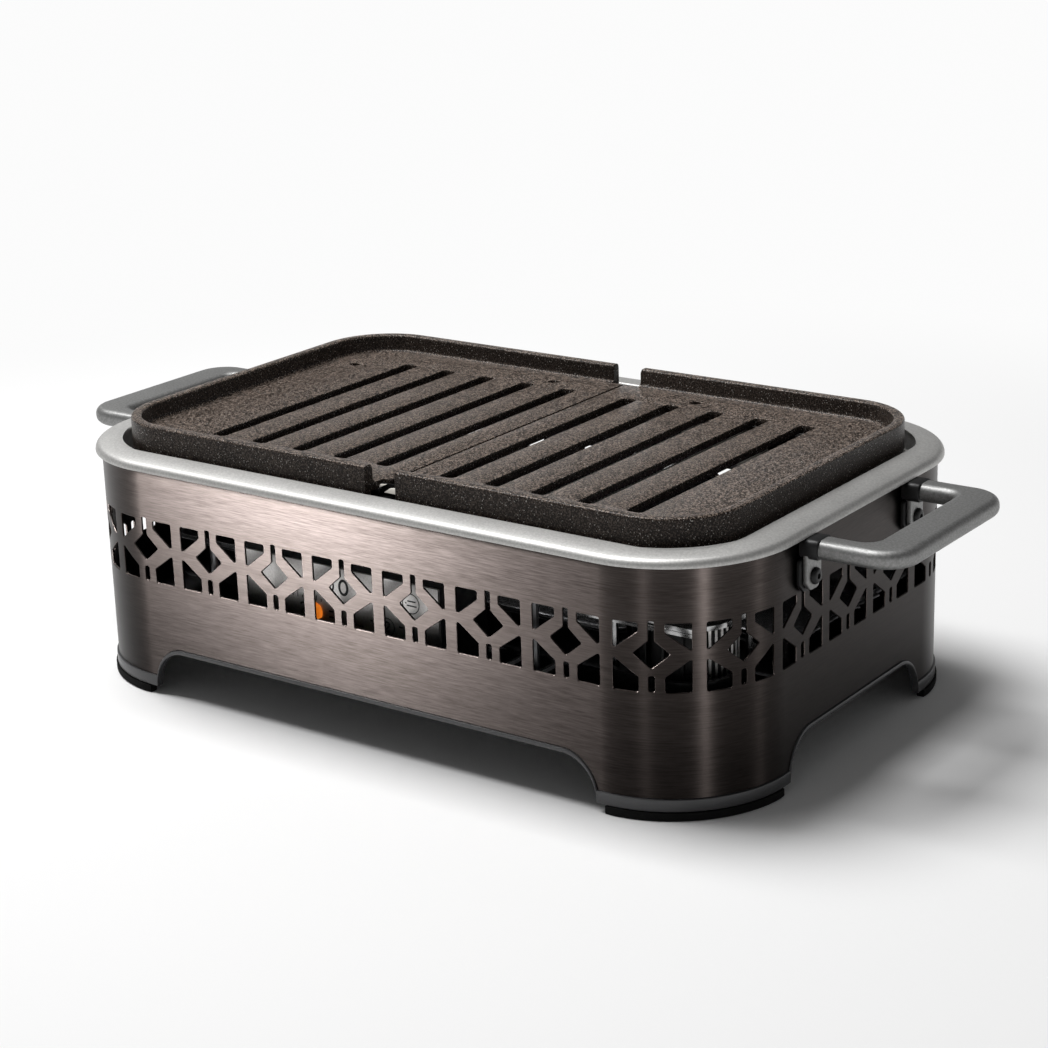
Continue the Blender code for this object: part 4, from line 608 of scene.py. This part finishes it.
def make_sleeve():
    """The bent sheet: fretwork cells side by side, and a plain band above and below them.

    A point (distance round, level, depth) of the flat sheet goes to the wall's point at
    that distance, moved inwards by the depth, so the sheet bends without facets.
    """
    points, faces = fret_cell()
    parts = [(points + [(cell + CELL_PHASE) * PITCH, 0.0, 0.0], faces) for cell in range(CELLS)]
    stations, even = edge_stations(), even_stations()
    low = trim_top(stations) + GAP
    inlet = PERIMETER / 2 - INLET_X
    patch = stations[np.abs(stations - inlet) < INLET_WIDTH]
    left, right, patch_low = patch[0], patch[-1], float(trim_top(patch[:1])[0]) + GAP
    border = [(left, patch_low), (right, patch_low), (right, BAND_LOW), (left, BAND_LOW)]
    opening = loop_round(INLET_WIDTH / 2 + GAP, INLET_HEIGHT / 2 + GAP, 0.003, 5, (inlet, INLET_LEVEL))
    parts.append(sheet(border, [opening], SHEET, 0.0002, open_border=True))
    whole = (stations < left - 0.0001) | (stations > right - 0.0001)
    for depth in (0.0, -SHEET):
        way = -1 if depth else 1
        levels = low + (BAND_LOW - low) * np.array([0.0, 0.5, 1.0])[:, None]
        order = skin(3, len(stations), False).reshape(2, -1, 4)[:, whole].reshape(-1, 4)
        parts.append((rows_of(stations, levels, depth).reshape(-1, 3), order[:, ::way]))
        levels = np.linspace(BAND_HIGH, SLEEVE_TOP, 4)[:, None]
        parts.append((rows_of(even, levels, depth).reshape(-1, 3), skin(4, len(even), False)[:, ::way]))
    for line, level, way in ((stations, low, -1), (even, SLEEVE_TOP, 1)):
        edge = [rows_of(line, level, depth) for depth in (0.0, -SHEET)]
        parts.append((np.concatenate(edge), skin(2, len(line), False)[:, ::way]))
    flat, faces = gathered(parts)
    flat[:, 0] %= PERIMETER
    mesh = bpy.data.meshes.new("fretwork_sleeve")
    bent = wall(flat[:, 0], flat[:, 2], flat[:, 1])
    mesh.from_pydata(bent.tolist(), [], faces)
    sizes = np.array([len(f) for f in faces])
    loops = np.concatenate([np.array(f) for f in faces])
    owner = np.repeat(np.arange(len(faces)), sizes)
    depth = flat[loops, 2]
    start = np.concatenate([[0], np.cumsum(sizes)[:-1]])
    highest, lowest = np.maximum.reduceat(depth, start), np.minimum.reduceat(depth, start)
    outer, inner = (lowest > -0.000001)[owner], (highest < 0.000001 - SHEET)[owner]
    normals = np.empty(len(mesh.polygons) * 3)
    mesh.polygons.foreach_get("normal", normals)
    normals = normals.reshape(-1, 3)[owner]
    angle = wall_angle(flat[loops, 0])
    radial = rows_of(np.cos(angle), np.sin(angle), 0.0)
    normals[outer] = radial[outer]
    normals[inner] = -radial[inner]
    along = mesh.uv_layers.new(name="along")
    near = (flat[loops, 0] + PERIMETER / 2) % PERIMETER
    first = near[start][owner]
    near = np.where(near - first > PERIMETER / 2, near - PERIMETER, near)
    near = np.where(near - first < -PERIMETER / 2, near + PERIMETER, near)
    along.data.foreach_set("uv", rows_of(near, flat[loops, 1]).ravel())
    mesh.shade_smooth()
    mesh.normals_split_custom_set(normals.tolist())
    placed("fretwork_sleeve", mesh, "bronze", "housing_sleeve")


# The pieces round the sleeve


def quarter(centre, radius, start, end, steps):
    """Points on an arc between two angles in degrees."""
    angle = np.radians(np.linspace(start, end, steps + 1))
    return [(centre[0] + radius * math.cos(a), centre[1] + radius * math.sin(a)) for a in angle]


def make_rim():
    """Pressed ring: a rolled outer edge, a softly crowned top, and short ledges inside.

    The top runs in from the outer wall to the opening, whose corners are tighter. Both
    outlines get the same count of steps, so that each step of one faces one of the other.
    """
    top = BASE_Z + RIM_TOP
    outer, roll, drop, lip, inside = TRIM_PROUD + 0.0022, 0.0038, 0.0010, 0.0014, 0.0013
    around, within = (round_stations(*shape, RIM_CORNER_STEPS, RIM_FRONT_STEPS, RIM_SIDE_STEPS)
                      for shape in (BODY, RIM_OPENING))
    x, y, _ = path_round(*RIM_OPENING, within)
    front_shelf = np.abs(np.abs(x) - LEDGE_X) < LEDGE_HALF
    side_shelf = (np.abs(y) < 0.025) & (np.abs(x) > 0.15)
    shelf = np.where(front_shelf | side_shelf, -LEDGE_REACH, -0.0008)
    under = top - LEDGE_DEPTH
    ledge = under + LEDGE_THICK
    face = [(outer, top - 0.0050), *quarter((outer - roll, top - drop - roll), roll, 0, 76, 10),
            (-0.0022, top - 0.00066), (-0.0052, top - 0.00030), (-0.0082, top - 0.00011),
            (-0.0110, top - 0.00003)]
    hem = [*quarter((lip, top - lip), lip, 90, 180, 6), (0.0, ledge), (shelf, ledge), (shelf, under),
           (inside, under), (inside, top - 0.0022)]
    seat = [(GAP, top - 0.0013), (GAP, top - 0.0050)]
    rows = []
    for shape, stations, profile in ((BODY, around, face), (RIM_OPENING, within, hem), (BODY, around, seat)):
        for offset, z in profile:
            x, y, _ = path_round(*shape, stations, offset)
            rows.append(rows_of(x, y, z))
    finished("pressed_rim", [swept(rows)], "silver", "top_rim")


def make_trim():
    """Moulded edge under the sleeve: a rounded bead outside, a seat and a lip inside."""
    s = edge_stations()
    low, top = arch(s), trim_top(s)
    bead, soft = 0.0005, 0.0005 * 0.3
    seat, back = -SHEET - GAP, -SHEET - GAP - TRIM_WALL
    profile = [(TRIM_PROUD - bead, low), (TRIM_PROUD - soft, low + soft), (TRIM_PROUD, low + bead),
               (TRIM_PROUD, top - bead), (TRIM_PROUD - soft, top - soft), (TRIM_PROUD - bead, top),
               (seat, top), (seat, top + TRIM_LIP), (back, top + TRIM_LIP), (back, low)]
    rows = [wall(s, offset, level) for offset, level in profile]
    finished("moulded_trim", [swept(rows)], "trim", "base_trim", 40.0)


def make_feet():
    """Rubber pads under the corners: a rounded section carried along an arc, eased at its ends."""
    middle = (TRIM_PROUD - SHEET - GAP - TRIM_WALL) / 2
    half, ease = 0.0026, 0.0005
    angle = np.radians(np.linspace(2.0, 88.0, 25))
    section = [(-half, 0.004), (-half, 0.0006), (-0.0020, 0.0), (0.0020, 0.0), (half, 0.0006), (half, 0.004)]
    for name, a, b in (("front_right", 1, -1), ("rear_right", 1, 1), ("rear_left", -1, 1),
                       ("front_left", -1, -1)):
        rows = []
        for turn in angle:
            share = 1 - ease / half if turn in (angle[0], angle[-1]) else 1
            rows.append([(a * (FRONT_FLAT + (CORNER_RADIUS + middle + r * share) * math.cos(turn)),
                          b * (SIDE_FLAT + (CORNER_RADIUS + middle + r * share) * math.sin(turn)), z)
                         for r, z in section])
        finished("foot_pad_" + name, [swept(rows, capped=True)], "rubber", "rubber_foot_" + name)


# The grill plates, the stop between them and the blower's edges


def wall_section():
    """Cross-section of a plate's wall, as (inset from outside, height), anticlockwise."""
    top, floor = BASE_Z + PLATE_TOP, BASE_Z + PLATE_FLOOR
    under, low = BASE_Z + PLATE_UNDER, BASE_Z + PLATE_BOTTOM
    ease, inside = PLATE_EASE, PLATE_WALL + PLATE_FILLET
    section = [(0.0, low + 0.0006), (0.0006, low), (0.0029, low), (0.0035, low + 0.0006), (0.0035, under),
               (inside, under), (inside, floor)]
    section += quarter((inside, floor + PLATE_FILLET), PLATE_FILLET, 270, 180, 5)
    section += quarter((PLATE_WALL - ease, top - ease), ease, 0, 90, 5)
    return section + quarter((ease, top - ease), ease, 90, 180, 5)


def make_plate(name, side, front_notch, rear_notch, setback):
    """One cast plate: its wall carried round three sides, and a slotted floor inside it.

    The wall starts and ends a notch away from the seam, and the floor's front edge is set
    back in the notch. Outlines are worked out for the right half and mirrored for the left.
    """
    half_x, half_y, radius = PLATE
    total = 4 * (half_x + half_y - 2 * radius) + 2 * math.pi * radius
    stations = round_stations(*PLATE, PLATE_STEPS)
    start, end, ease = half_x - radius + front_notch, total / 2 + half_x - radius - rear_notch, 0.0007
    inner = stations[(stations > start + 0.001) & (stations < end - 0.001)]
    section = np.array(wall_section())
    middle = section.mean(axis=0)
    loops = []
    for distance in (start, start + ease, *inner, end - ease, end):
        ring = section + (middle - section) * (ease / 0.0035 if distance in (start, end) else 0.0)
        x, y, _ = path_round(*PLATE, distance, -ring[:, 0])
        loops.append(rows_of(side * x, y, ring[:, 1]))
    parts = [swept(loops, capped=True)]
    floor_inset = PLATE_WALL + PLATE_FILLET - 0.0006
    border = loop_round(*PLATE, PLATE_STEPS, offset=-floor_inset)
    border = border[border[:, 0] > 0.02]
    border = border[np.argsort(np.arctan2(border[:, 1], border[:, 0] - 0.02))]
    seam, depth = SEAM / 2, half_y - floor_inset
    rear = [(rear_notch, depth), (seam, depth)]
    front = [(seam, setback - depth), (front_notch, setback - depth), (front_notch, -depth),
             (front_notch + 0.0045, -depth)]
    holes = [loop_round(SLOT_WIDTH / 2, SLOT_HALF_LENGTH, 0.0022, 6, (SLOT_FIRST + SLOT_PITCH * i, 0.0))
             for i in range(5)]
    holes += [loop_round(0.0030, 0.0022, 0.0021, 6, place) for place in SMALL_HOLES[side]]
    parts.append(sheet(np.concatenate([border, rear, front]), holes, PLATE_FLOOR - PLATE_UNDER, 0.0006,
                       lying(BASE_Z + PLATE_FLOOR, side)))
    finished("cast_" + name, parts, "coating", "grill_" + name, body=name)


def make_rest():
    """Small stop under the notch between the plates: a black angle with two bright facets.

    Its foot reaches the rim's inner wall; the facets lean on its upright, as (x, z) outlines.
    """
    left, right, near, far = -0.0046, 0.0080, -0.1140, -0.0990
    upright_y, facet, lean = -0.1000, 0.0012, 0.6
    foot, low, high, pivot = BASE_Z + 0.1108, BASE_Z + 0.1162, BASE_Z + 0.1223, 0.1257
    flat = [(left, near), (right, near), (right, far), (left, far)]
    upright = [(left, low), (right, low), (right, high), (left, high)]
    parts = [sheet(flat, [], low - foot, 0.0004, lying(low)),
             sheet(upright, [], 0.0010, 0.0001, facing_front(upright_y))]
    finished("seam_stop", parts, "rubber")
    outlines = ([(left, 0.1245), (-0.0009, 0.1264), (left, 0.1260)],
                [(-0.0009, 0.1230), (0.0076, 0.1230), (0.0065, 0.1255), (0.0017, 0.1250)])
    place = facing_front(upright_y - facet, lean, pivot)
    finished("seam_facets", [sheet(outline, [], facet, 0.0001, place) for outline in outlines],
             "ceramic")


def block(low, high):
    """Points and faces of a box between two corners."""
    points = np.array([[x, y, z] for x in (low[0], high[0]) for y in (low[1], high[1])
                       for z in (low[2], high[2])])
    faces = [(0, 1, 3, 2), (4, 6, 7, 5), (0, 4, 5, 1), (2, 3, 7, 6), (0, 2, 6, 4), (1, 5, 7, 3)]
    return points, faces


def make_blower_edge():
    """Beaded front edge of the blower's cover, and the upright bars that guard its wheel."""
    bead, sheet_depth, low, front = 0.0018, 0.0010, BASE_Z + 0.0818, -0.1120
    start, end, back = 0.1000, 0.1780, front + sheet_depth
    parts = [block((start, front, z), (end, back, z + bead)) for z in (low, low + bead + 0.0006)]
    parts.append(block((start + 0.001, front + 0.0003, low), (end - 0.001, back, low + 2 * bead)))
    finished("cover_lip", parts, "bright")
    near = (GUARD_RADIUS, -GUARD_BAR / 2, BASE_Z + GUARD_LOW)
    far = (GUARD_RADIUS + GUARD_SHEET, GUARD_BAR / 2, BASE_Z + GUARD_HIGH)
    parts = []
    for turn in np.radians(np.arange(-33.0, 12.0, 7.0)):
        points, faces = block(near, far)
        (x, y, z), c, s = points.T, math.cos(turn), math.sin(turn)
        parts.append((rows_of(BLOWER_X + x * c - y * s, BLOWER_Y + x * s + y * c, z), faces))
    finished("blower_guard", parts, "panel")


# Handles and their fixings


def handle_ends():
    """Name, side and place along Y of each handle arm's fixing."""
    for side_name, side in (("left", -1), ("right", 1)):
        for end_name, y in (("front", -TAB_Y), ("rear", TAB_Y)):
            yield side_name + "_" + end_name, side, y


def tongue(y, half, tip_half, top, tip, rise, radius, steps):
    """Outline of a tab that hangs at y and narrows over its last rise, with rounded corners."""
    return softened([(y - half, top), (y - half, tip + rise), (y - tip_half, tip), (y + tip_half, tip),
                     (y + half, tip + rise), (y + half, top)], radius, steps)


def make_handle(name, side):
    """Flat U handle with rounded edges, and a bent-down tab at each arm."""
    tip, root = HALF_LENGTH + HANDLE_REACH, TAB_IN + GAP
    inside = tip - HANDLE_BAR
    half, inner_half, outer, inner = HANDLE_HALF_WIDTH, HANDLE_HALF_WIDTH - HANDLE_ARM, 0.018, 0.007
    outline = [(root, -half), *quarter((tip - outer, -half + outer), outer, -90, 0, 16),
               *quarter((tip - outer, half - outer), outer, 0, 90, 16), (root, half), (root, inner_half),
               *quarter((inside - inner, inner_half - inner), inner, 90, 0, 10),
               *quarter((inside - inner, -inner_half + inner), inner, 0, -90, 10), (root, -inner_half)]
    parts = [sheet(outline, [], HANDLE_THICK, 0.0040, lying(BASE_Z + HANDLE_TOP, side), segments=7)]
    top, low = BASE_Z + HANDLE_TOP - HANDLE_THICK / 2, BASE_Z + 0.0912
    for y in (-TAB_Y, TAB_Y):
        shape = tongue(y, 0.0064, 0.0034, top, low, 0.0035, 0.003, 5)
        parts.append(sheet(shape, [], TAB_THICK, 0.0005, facing_side(side, TAB_IN + TAB_THICK)))
    finished("formed_" + name, parts, "handle", name)


def lathe(profile, centre, sides=28):
    """Points and faces of a profile of (radius, place) turned round the X axis."""
    angle = np.arange(sides) * 2 * math.pi / sides
    rows = [rows_of(place, r * np.cos(angle), r * np.sin(angle)) for r, place in profile]
    points, faces = swept(rows, capped=True)
    return points + np.array(centre), faces


def make_screws():
    """Button-head screws with a round recess, from the tab to the strap inside."""
    head = TAB_IN + TAB_THICK + GAP
    strap = HALF_LENGTH - SHEET - GAP - 0.002
    profile = [(0.002, strap - 0.002), (0.002, head), (0.0040, head), (0.0040, head + 0.0006),
               (0.0037, head + 0.0012), (0.0030, head + 0.0018), (0.0020, head + 0.0020),
               (0.0014, head + 0.0020), (0.0013, head + 0.0009)]
    for tag, side, y in handle_ends():
        screw = lathe([(r, side * p) for r, p in profile], (0.0, y, BASE_Z + SCREW_LEVEL))
        finished("button_screw_" + tag, [screw], "black", "handle_screw_" + tag, 50.0)


def make_spacers():
    """Black blocks between the tabs and the sleeve, each with a sheath round the arm's root."""
    wall_x = HALF_LENGTH + GAP
    thick = TAB_IN - HALF_LENGTH - 2 * GAP
    top, tip = BASE_Z + HANDLE_TOP - HANDLE_THICK - GAP, BASE_Z + 0.0902
    arm_y, arm_z = HANDLE_HALF_WIDTH - HANDLE_ARM / 2, BASE_Z + HANDLE_TOP - HANDLE_THICK / 2
    for tag, side, y in handle_ends():
        bore = loop_round(0.0022, 0.0022, 0.00219, 4, (y, BASE_Z + SCREW_LEVEL))
        sheath = loop_round(HANDLE_ARM / 2 + 0.0009, HANDLE_THICK / 2 + 0.0003, 0.0032, 5,
                            (math.copysign(arm_y, y), arm_z))
        parts = [sheet(tongue(y, 0.0082, 0.0045, top, tip, 0.004, 0.0025, 4), [bore], thick, 0.0004,
                       facing_side(side, wall_x + thick)),
                 sheet(sheath, [], SHEATH_LENGTH, 0.0008, facing_side(side, wall_x + SHEATH_LENGTH))]
        finished("moulded_spacer_" + tag, parts, "black", "handle_spacer_" + tag)


# The control panel, its lamp, the drip tray, the inlet and the coils


def ribbon(path, width):
    """A flat stroke of even width along a path of (x, z) places."""
    ahead = np.gradient(path, axis=0)
    ahead /= np.linalg.norm(ahead, axis=1)[:, None]
    aside = rows_of(-ahead[:, 1], ahead[:, 0]) * width / 2
    points = np.concatenate([path + aside, path - aside])
    count = len(path)
    return points, [[i, i + 1, i + 1 + count, i + count] for i in range(count - 1)]


def ring_path(x, z, wide, high, start=0.0, end=360.0):
    """Places on an ellipse between two angles in degrees."""
    angle = np.radians(np.linspace(start, end, 33))
    return rows_of(x + wide * np.cos(angle), z + high * np.sin(angle))


def figure_two(x, z, size):
    """The strokes of a plain figure 2."""
    bow = ring_path(x, z + 0.22 * size, 0.28 * size, 0.26 * size, 160.0, -40.0)
    foot = [(x - 0.30 * size, z - 0.48 * size), (x + 0.32 * size, z - 0.48 * size)]
    return [np.concatenate([bow, foot[:1]]), np.array(foot)]


def make_marks():
    """Plain printed figures and ticks on the control panel, beside the lamp and the selector."""
    strokes = [(ring_path(-0.0215, 0.0738, 0.0025, 0.0036), 0.0014),
               (ring_path(-0.0300, 0.0738, 0.0022, 0.0032), 0.0010)]
    for x, size in ((-0.0480, 0.0056), (0.0048, 0.0050)):
        strokes += [(path, 0.0008) for path in figure_two(x, 0.0588, size)]
    strokes += [(ring_path(0.0048, 0.0588, 0.0044, 0.0044), 0.0005),
                (ring_path(0.0200, 0.0733, 0.0050, 0.0050), 0.0005)]
    for i in range(9):
        x = -0.0600 + 0.0030 * i
        strokes.append((np.array([(x, 0.0640), (x, 0.0655 + 0.0012 * (i % 2))]), 0.0005))
    for x, z, wide in ((-0.0130, 0.0560, 0.006), (-0.0040, 0.0600, 0.003), (0.0140, 0.0600, 0.004),
                       (0.0170, 0.0733, 0.001), (0.0205, 0.0745, 0.005), (0.0205, 0.0722, 0.006),
                       (-0.0290, 0.0600, 0.005), (-0.0300, 0.0570, 0.003)):
        strokes.append((np.array([(x - wide / 2, z), (x + wide / 2, z)]), 0.0007))
    parts = []
    for path, width in strokes:
        points, faces = ribbon(path, width)
        parts.append((np.insert(points, 1, PANEL_FRONT - 0.00005, axis=1), faces))
    finished("panel_marks", parts, "ink")


def make_lens():
    """Square amber lens with eased edges, set through the panel."""
    square = loop_round(0.0034, 0.0034, 0.0009, 5, (-0.0405, BASE_Z + 0.0540))
    lens = sheet(square, [], 0.0120, 0.0006, facing_front(PANEL_FRONT - 0.0018), segments=3)
    finished("square_lens", [lens], "amber", "pilot_lamp")


def make_tray():
    """Pressed drip tray: floor, rounded foot, wall and a rolled edge, carried round an L outline.

    The wall rises smoothly towards the back, where it keeps splashes off the fretwork.
    """
    left, right, front, back = -0.180, 0.185, -0.066, 0.108
    notch_x, notch_y = 0.110, -0.034
    corners = softened([(left, front), (notch_x, front), (notch_x, notch_y), (right, notch_y), (right, 0.020),
                        (right, 0.040), (right, back), (left, back), (left, 0.040), (left, 0.020)], 0.012, 8)
    outline = np.concatenate([np.linspace(a, b, 12, endpoint=False) if np.hypot(*(b - a)) > 0.02 else [a]
                              for a, b in zip(corners, np.roll(corners, -1, 0))])
    low, high = BASE_Z + 0.0330, BASE_Z + 0.0588
    thick, foot, roll, rise = 0.0010, 0.0050, 0.0017, 0.0195
    profile = [*quarter((-thick - foot, low + thick + foot), foot, -90, 0, 5), (-thick, high - roll),
               *quarter((roll - thick, high - roll), roll, 180, -50, 12)[1:], (0.0, high - roll * 2),
               *quarter((-foot - thick, low + foot + thick), foot + thick, 0, -90, 5)]
    rear = np.clip((outline[:, 1] - 0.070) / 0.030, 0.0, 1.0)
    splash = rise * rear * rear * (3.0 - 2.0 * rear)
    loops = [np.column_stack([moved_out(outline, offset), z + splash * (z > low + foot * 1.3)])
             for offset, z in profile]
    finished("rolled_drip_tray", [swept(loops, capped=True)], "tray", "drip_tray")


def make_inlet():
    """Mains inlet in the back: a rounded flange, a recess and three flat pins."""
    x, z, face = INLET_X, BASE_Z + INLET_LEVEL, HALF_DEPTH + 0.0014
    lip, length, pin_depth = 0.0022, 0.0170, 0.0065
    outer = loop_round(INLET_WIDTH / 2, INLET_HEIGHT / 2, 0.003, 5, (x, z))
    well = loop_round(INLET_WIDTH / 2 - lip, INLET_HEIGHT / 2 - lip, 0.002, 5, (x, z))
    parts = [sheet(outer, [well], length, 0.0004, facing_rear(face)),
             sheet(outer, [], 0.0040, 0.0002, facing_rear(face - length))]
    for dx, dz in ((-0.0065, -0.0028), (0.0, 0.0028), (0.0065, -0.0028)):
        pin = loop_round(0.0010, 0.0020, 0.0003, 2, (x + dx, z + dz))
        parts.append(sheet(pin, [], 0.0110, 0.0002, facing_rear(face - pin_depth)))
    finished("socket_inlet", parts, "black", "mains_inlet")


def tube(path, radius, sides=6):
    """A round tube along a path of points, its section carried by a turning frame."""
    ahead = np.gradient(path, axis=0)
    ahead /= np.linalg.norm(ahead, axis=1)[:, None]
    normals = [np.cross(ahead[0], [0.0, 0.0, 1.0])]
    for direction in ahead[1:]:
        flat = normals[-1] - direction * normals[-1].dot(direction)
        normals.append(flat / np.linalg.norm(flat))
    normals = np.array(normals)
    binormals = np.cross(ahead, normals)
    angle = np.arange(sides) * 2 * math.pi / sides
    loops = path[:, None] + radius * (np.cos(angle)[None, :, None] * normals[:, None]
                                      + np.sin(angle)[None, :, None] * binormals[:, None])
    return swept(loops, capped=True)


def make_coil(name, side):
    """Wound heater wire: two close-wound runs joined by a plain bend at the back."""
    near_x, far_x, level = side * 0.0598, side * 0.0866, BASE_Z + COIL_LEVEL
    end_y, lead_y = 0.099, 0.086
    t = np.linspace(0.0, 1.0, COIL_TURNS * 10 + 1)
    opening = COIL_RADIUS * np.clip(np.minimum(t, 1 - t) * COIL_TURNS / 1.5, 0.0, 1.0)
    angle = 2 * math.pi * COIL_TURNS * t
    first, second = (rows_of(x + opening * np.sin(angle), COIL_REACH * way * (2 * t - 1),
                             level + opening * np.cos(angle)) for x, way in ((near_x, 1), (far_x, -1)))
    bend = np.linspace(0.0, math.pi, 17)
    half = (far_x - near_x) / 2
    back = rows_of(near_x + half * (1 - np.cos(bend)), 0.092 + 0.007 * np.sin(bend), level)
    path = np.concatenate([[(near_x, -end_y, level), (near_x, -lead_y, level)], first, back, second,
                           [(far_x, -lead_y, level), (far_x, -end_y, level)]])
    finished("wound_" + name, [tube(path, 0.0007)], "wire", name, 180.0)


# CAD pieces that show as they are


def dress_frame():
    """Give each CAD piece that shows as it is its finish, by the start of its name."""
    kinds = (("zinc", ("base_plate", "tie_bolt", "element_rail", "tray_rail", "control_box", "handle_strap",
                       "blower_motor")),
             ("black", ("blower_pan", "fan_wheel", "heat_selector", "selector_switch")),
             ("bright", ("reflector_frame", "blower_cover")),
             ("panel", ("control_panel",)),
             ("ceramic", ("ceramic_block", "thermostat", "terminal_block")))
    for name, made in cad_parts.items():
        for finish, starts in kinds:
            if name.startswith(starts):
                for place in made.material_slots:
                    place.material = FINISH[finish]
                if not made.material_slots:
                    made.data.materials.append(FINISH[finish])


# Floor, light and camera


def seen_directly(tree):
    """One for camera, glossy and transmission rays, which show the background; else zero."""
    rays = node(tree, "LightPath").outputs
    seen = joined("MAXIMUM", rays["Is Camera Ray"], rays["Is Glossy Ray"])
    return joined("MAXIMUM", seen, rays["Is Transmission Ray"])


def make_floor():
    """Pale floor: real shadow near the grill, an even white further out."""
    corners = [(x * FLOOR_REACH, y * FLOOR_REACH, 0) for x, y in ((-1, -1), (1, -1), (1, 1), (-1, 1))]
    mesh = bpy.data.meshes.new("floor")
    mesh.from_pydata(corners, [], [(0, 1, 2, 3)])
    linked("floor", mesh)
    made, tree, shader = finish_named("pale_floor")
    feed(shader, Base_Color=(0.88, 0.88, 0.88, 1.0), Roughness=0.9, Specular_IOR_Level=0.1)
    away = node(tree, "VectorMath", operation="LENGTH", _0=coords(tree))
    share = joined("MULTIPLY", eased(away.outputs["Value"], 0.42, 0.85), seen_directly(tree))
    white = node(tree, "Emission", Strength=WHITE)
    both = node(tree, "MixShader", Fac=share, _1=shader.outputs[0], _2=white.outputs[0])
    feed(tree.nodes["Material Output"], Surface=both.outputs[0])
    mesh.materials.append(made)


def make_world():
    """Studio air: pale at the horizon, fading to a dim grey overhead.

    Camera, glossy and transmission rays meet plain white just over the horizon.
    """
    world = bpy.data.worlds.new("studio")
    world.use_nodes = True
    bpy.context.scene.world = world
    tree = world.node_tree
    height = axis_of(coords(tree, "Generated"), "Z")
    tone = ramp(height, [(0.0, 0.36), (0.06, 0.25), (0.20, 0.13), (1.0, 0.14)])
    share = joined("MULTIPLY", eased(height, 0.12, 0.20, 1.0, 0.0), seen_directly(tree))
    feed(tree.nodes["Background"], Color=mixed(share, tone, (WHITE,) * 3))


def axes_from(azimuth, elevation):
    """Right, up and back axes of a lamp or camera that looks in from a direction in degrees.

    The azimuth turns from the front (-Y) towards +X.
    """
    a, e = math.radians(azimuth), math.radians(elevation)
    back = np.array([math.sin(a) * math.cos(e), -math.cos(a) * math.cos(e), math.sin(e)])
    right = np.cross([0.0, 0.0, 1.0], back)
    right /= np.linalg.norm(right)
    return right, np.cross(back, right), back


def stood(name, data, right, up, back, place):
    """Put a lamp or camera into the scene by its axes and its place."""
    made = linked(name, data)
    made.matrix_world = Matrix([*rows_of(right, up, back, place).tolist(), (0, 0, 0, 1)])
    return made


def add_lamp(name, azimuth, elevation, distance, width, height, radiance, only=None):
    """A soft panel lamp, aimed at the middle of the grill.

    Its watts come from the wanted radiance: a panel of area A shows power / (pi A).
    A reflector card shows only in the glossy surfaces of the collection that it is for.
    """
    data = bpy.data.lights.new(name, "AREA")
    data.shape = "RECTANGLE"
    data.size, data.size_y = width, height
    data.energy = radiance * math.pi * width * height
    right, up, back = axes_from(azimuth, elevation)
    made = stood(name, data, right, up, back, np.array([0.0, 0.0, 0.07]) + distance * back)
    if only:
        made.visible_diffuse = False
        made.light_linking.receiver_collection = only


def make_lamps():
    """One wide panel high on the left, and four cards that streak the sleeve alone."""
    add_lamp("key_panel", -84, 69, 2.4, 1.15, 1.50, 13.0)
    sleeve = bpy.data.collections.new("streaked_sleeve")
    sleeve.objects.link(bpy.data.objects["fretwork_sleeve"])
    add_lamp("card_left", -38.5, 26, 0.75, 0.15, 0.24, 262.0, sleeve)
    add_lamp("card_front", 12, 14, 2.4, 0.07, 1.1, 32.0, sleeve)
    add_lamp("card_corner", 60, 14, 2.4, 0.10, 1.1, 84.0, sleeve)
    add_lamp("card_right", 109, 14, 2.4, 0.07, 1.1, 29.0, sleeve)


def make_camera():
    """The photograph's camera, recovered from the fretwork, slots and feet."""
    right, up, back = axes_from(36.035, 18.114)
    roll = math.radians(-1.7848)
    data = bpy.data.cameras.new("camera")
    data.sensor_width, data.lens = 36.0, 84.97
    data.clip_start, data.clip_end = 0.05, 200.0
    c, s = math.cos(roll), math.sin(roll)
    place = np.array([-0.2880, 0.40457, -0.0845]) + 1.79495 * back
    bpy.context.scene.camera = stood("camera", data, c * right + s * up, c * up - s * right, back, place)


FINISH = make_finishes()
make_camera()
make_floor()
make_world()
dress_frame()
make_sleeve()
make_rim()
make_trim()
make_feet()
make_plate("plate_left", -1, 0.005, 0.007, 0.006)
make_plate("plate_right", 1, 0.012, 0.010, 0.013)
make_rest()
make_lamps()
make_blower_edge()
make_handle("handle_left", -1)
make_handle("handle_right", 1)
make_screws()
make_spacers()
make_marks()
make_lens()
make_tray()
make_inlet()
make_coil("heating_coil_left", -1)
make_coil("heating_coil_right", 1)

bpy.context.scene.view_settings.view_transform = "Standard"
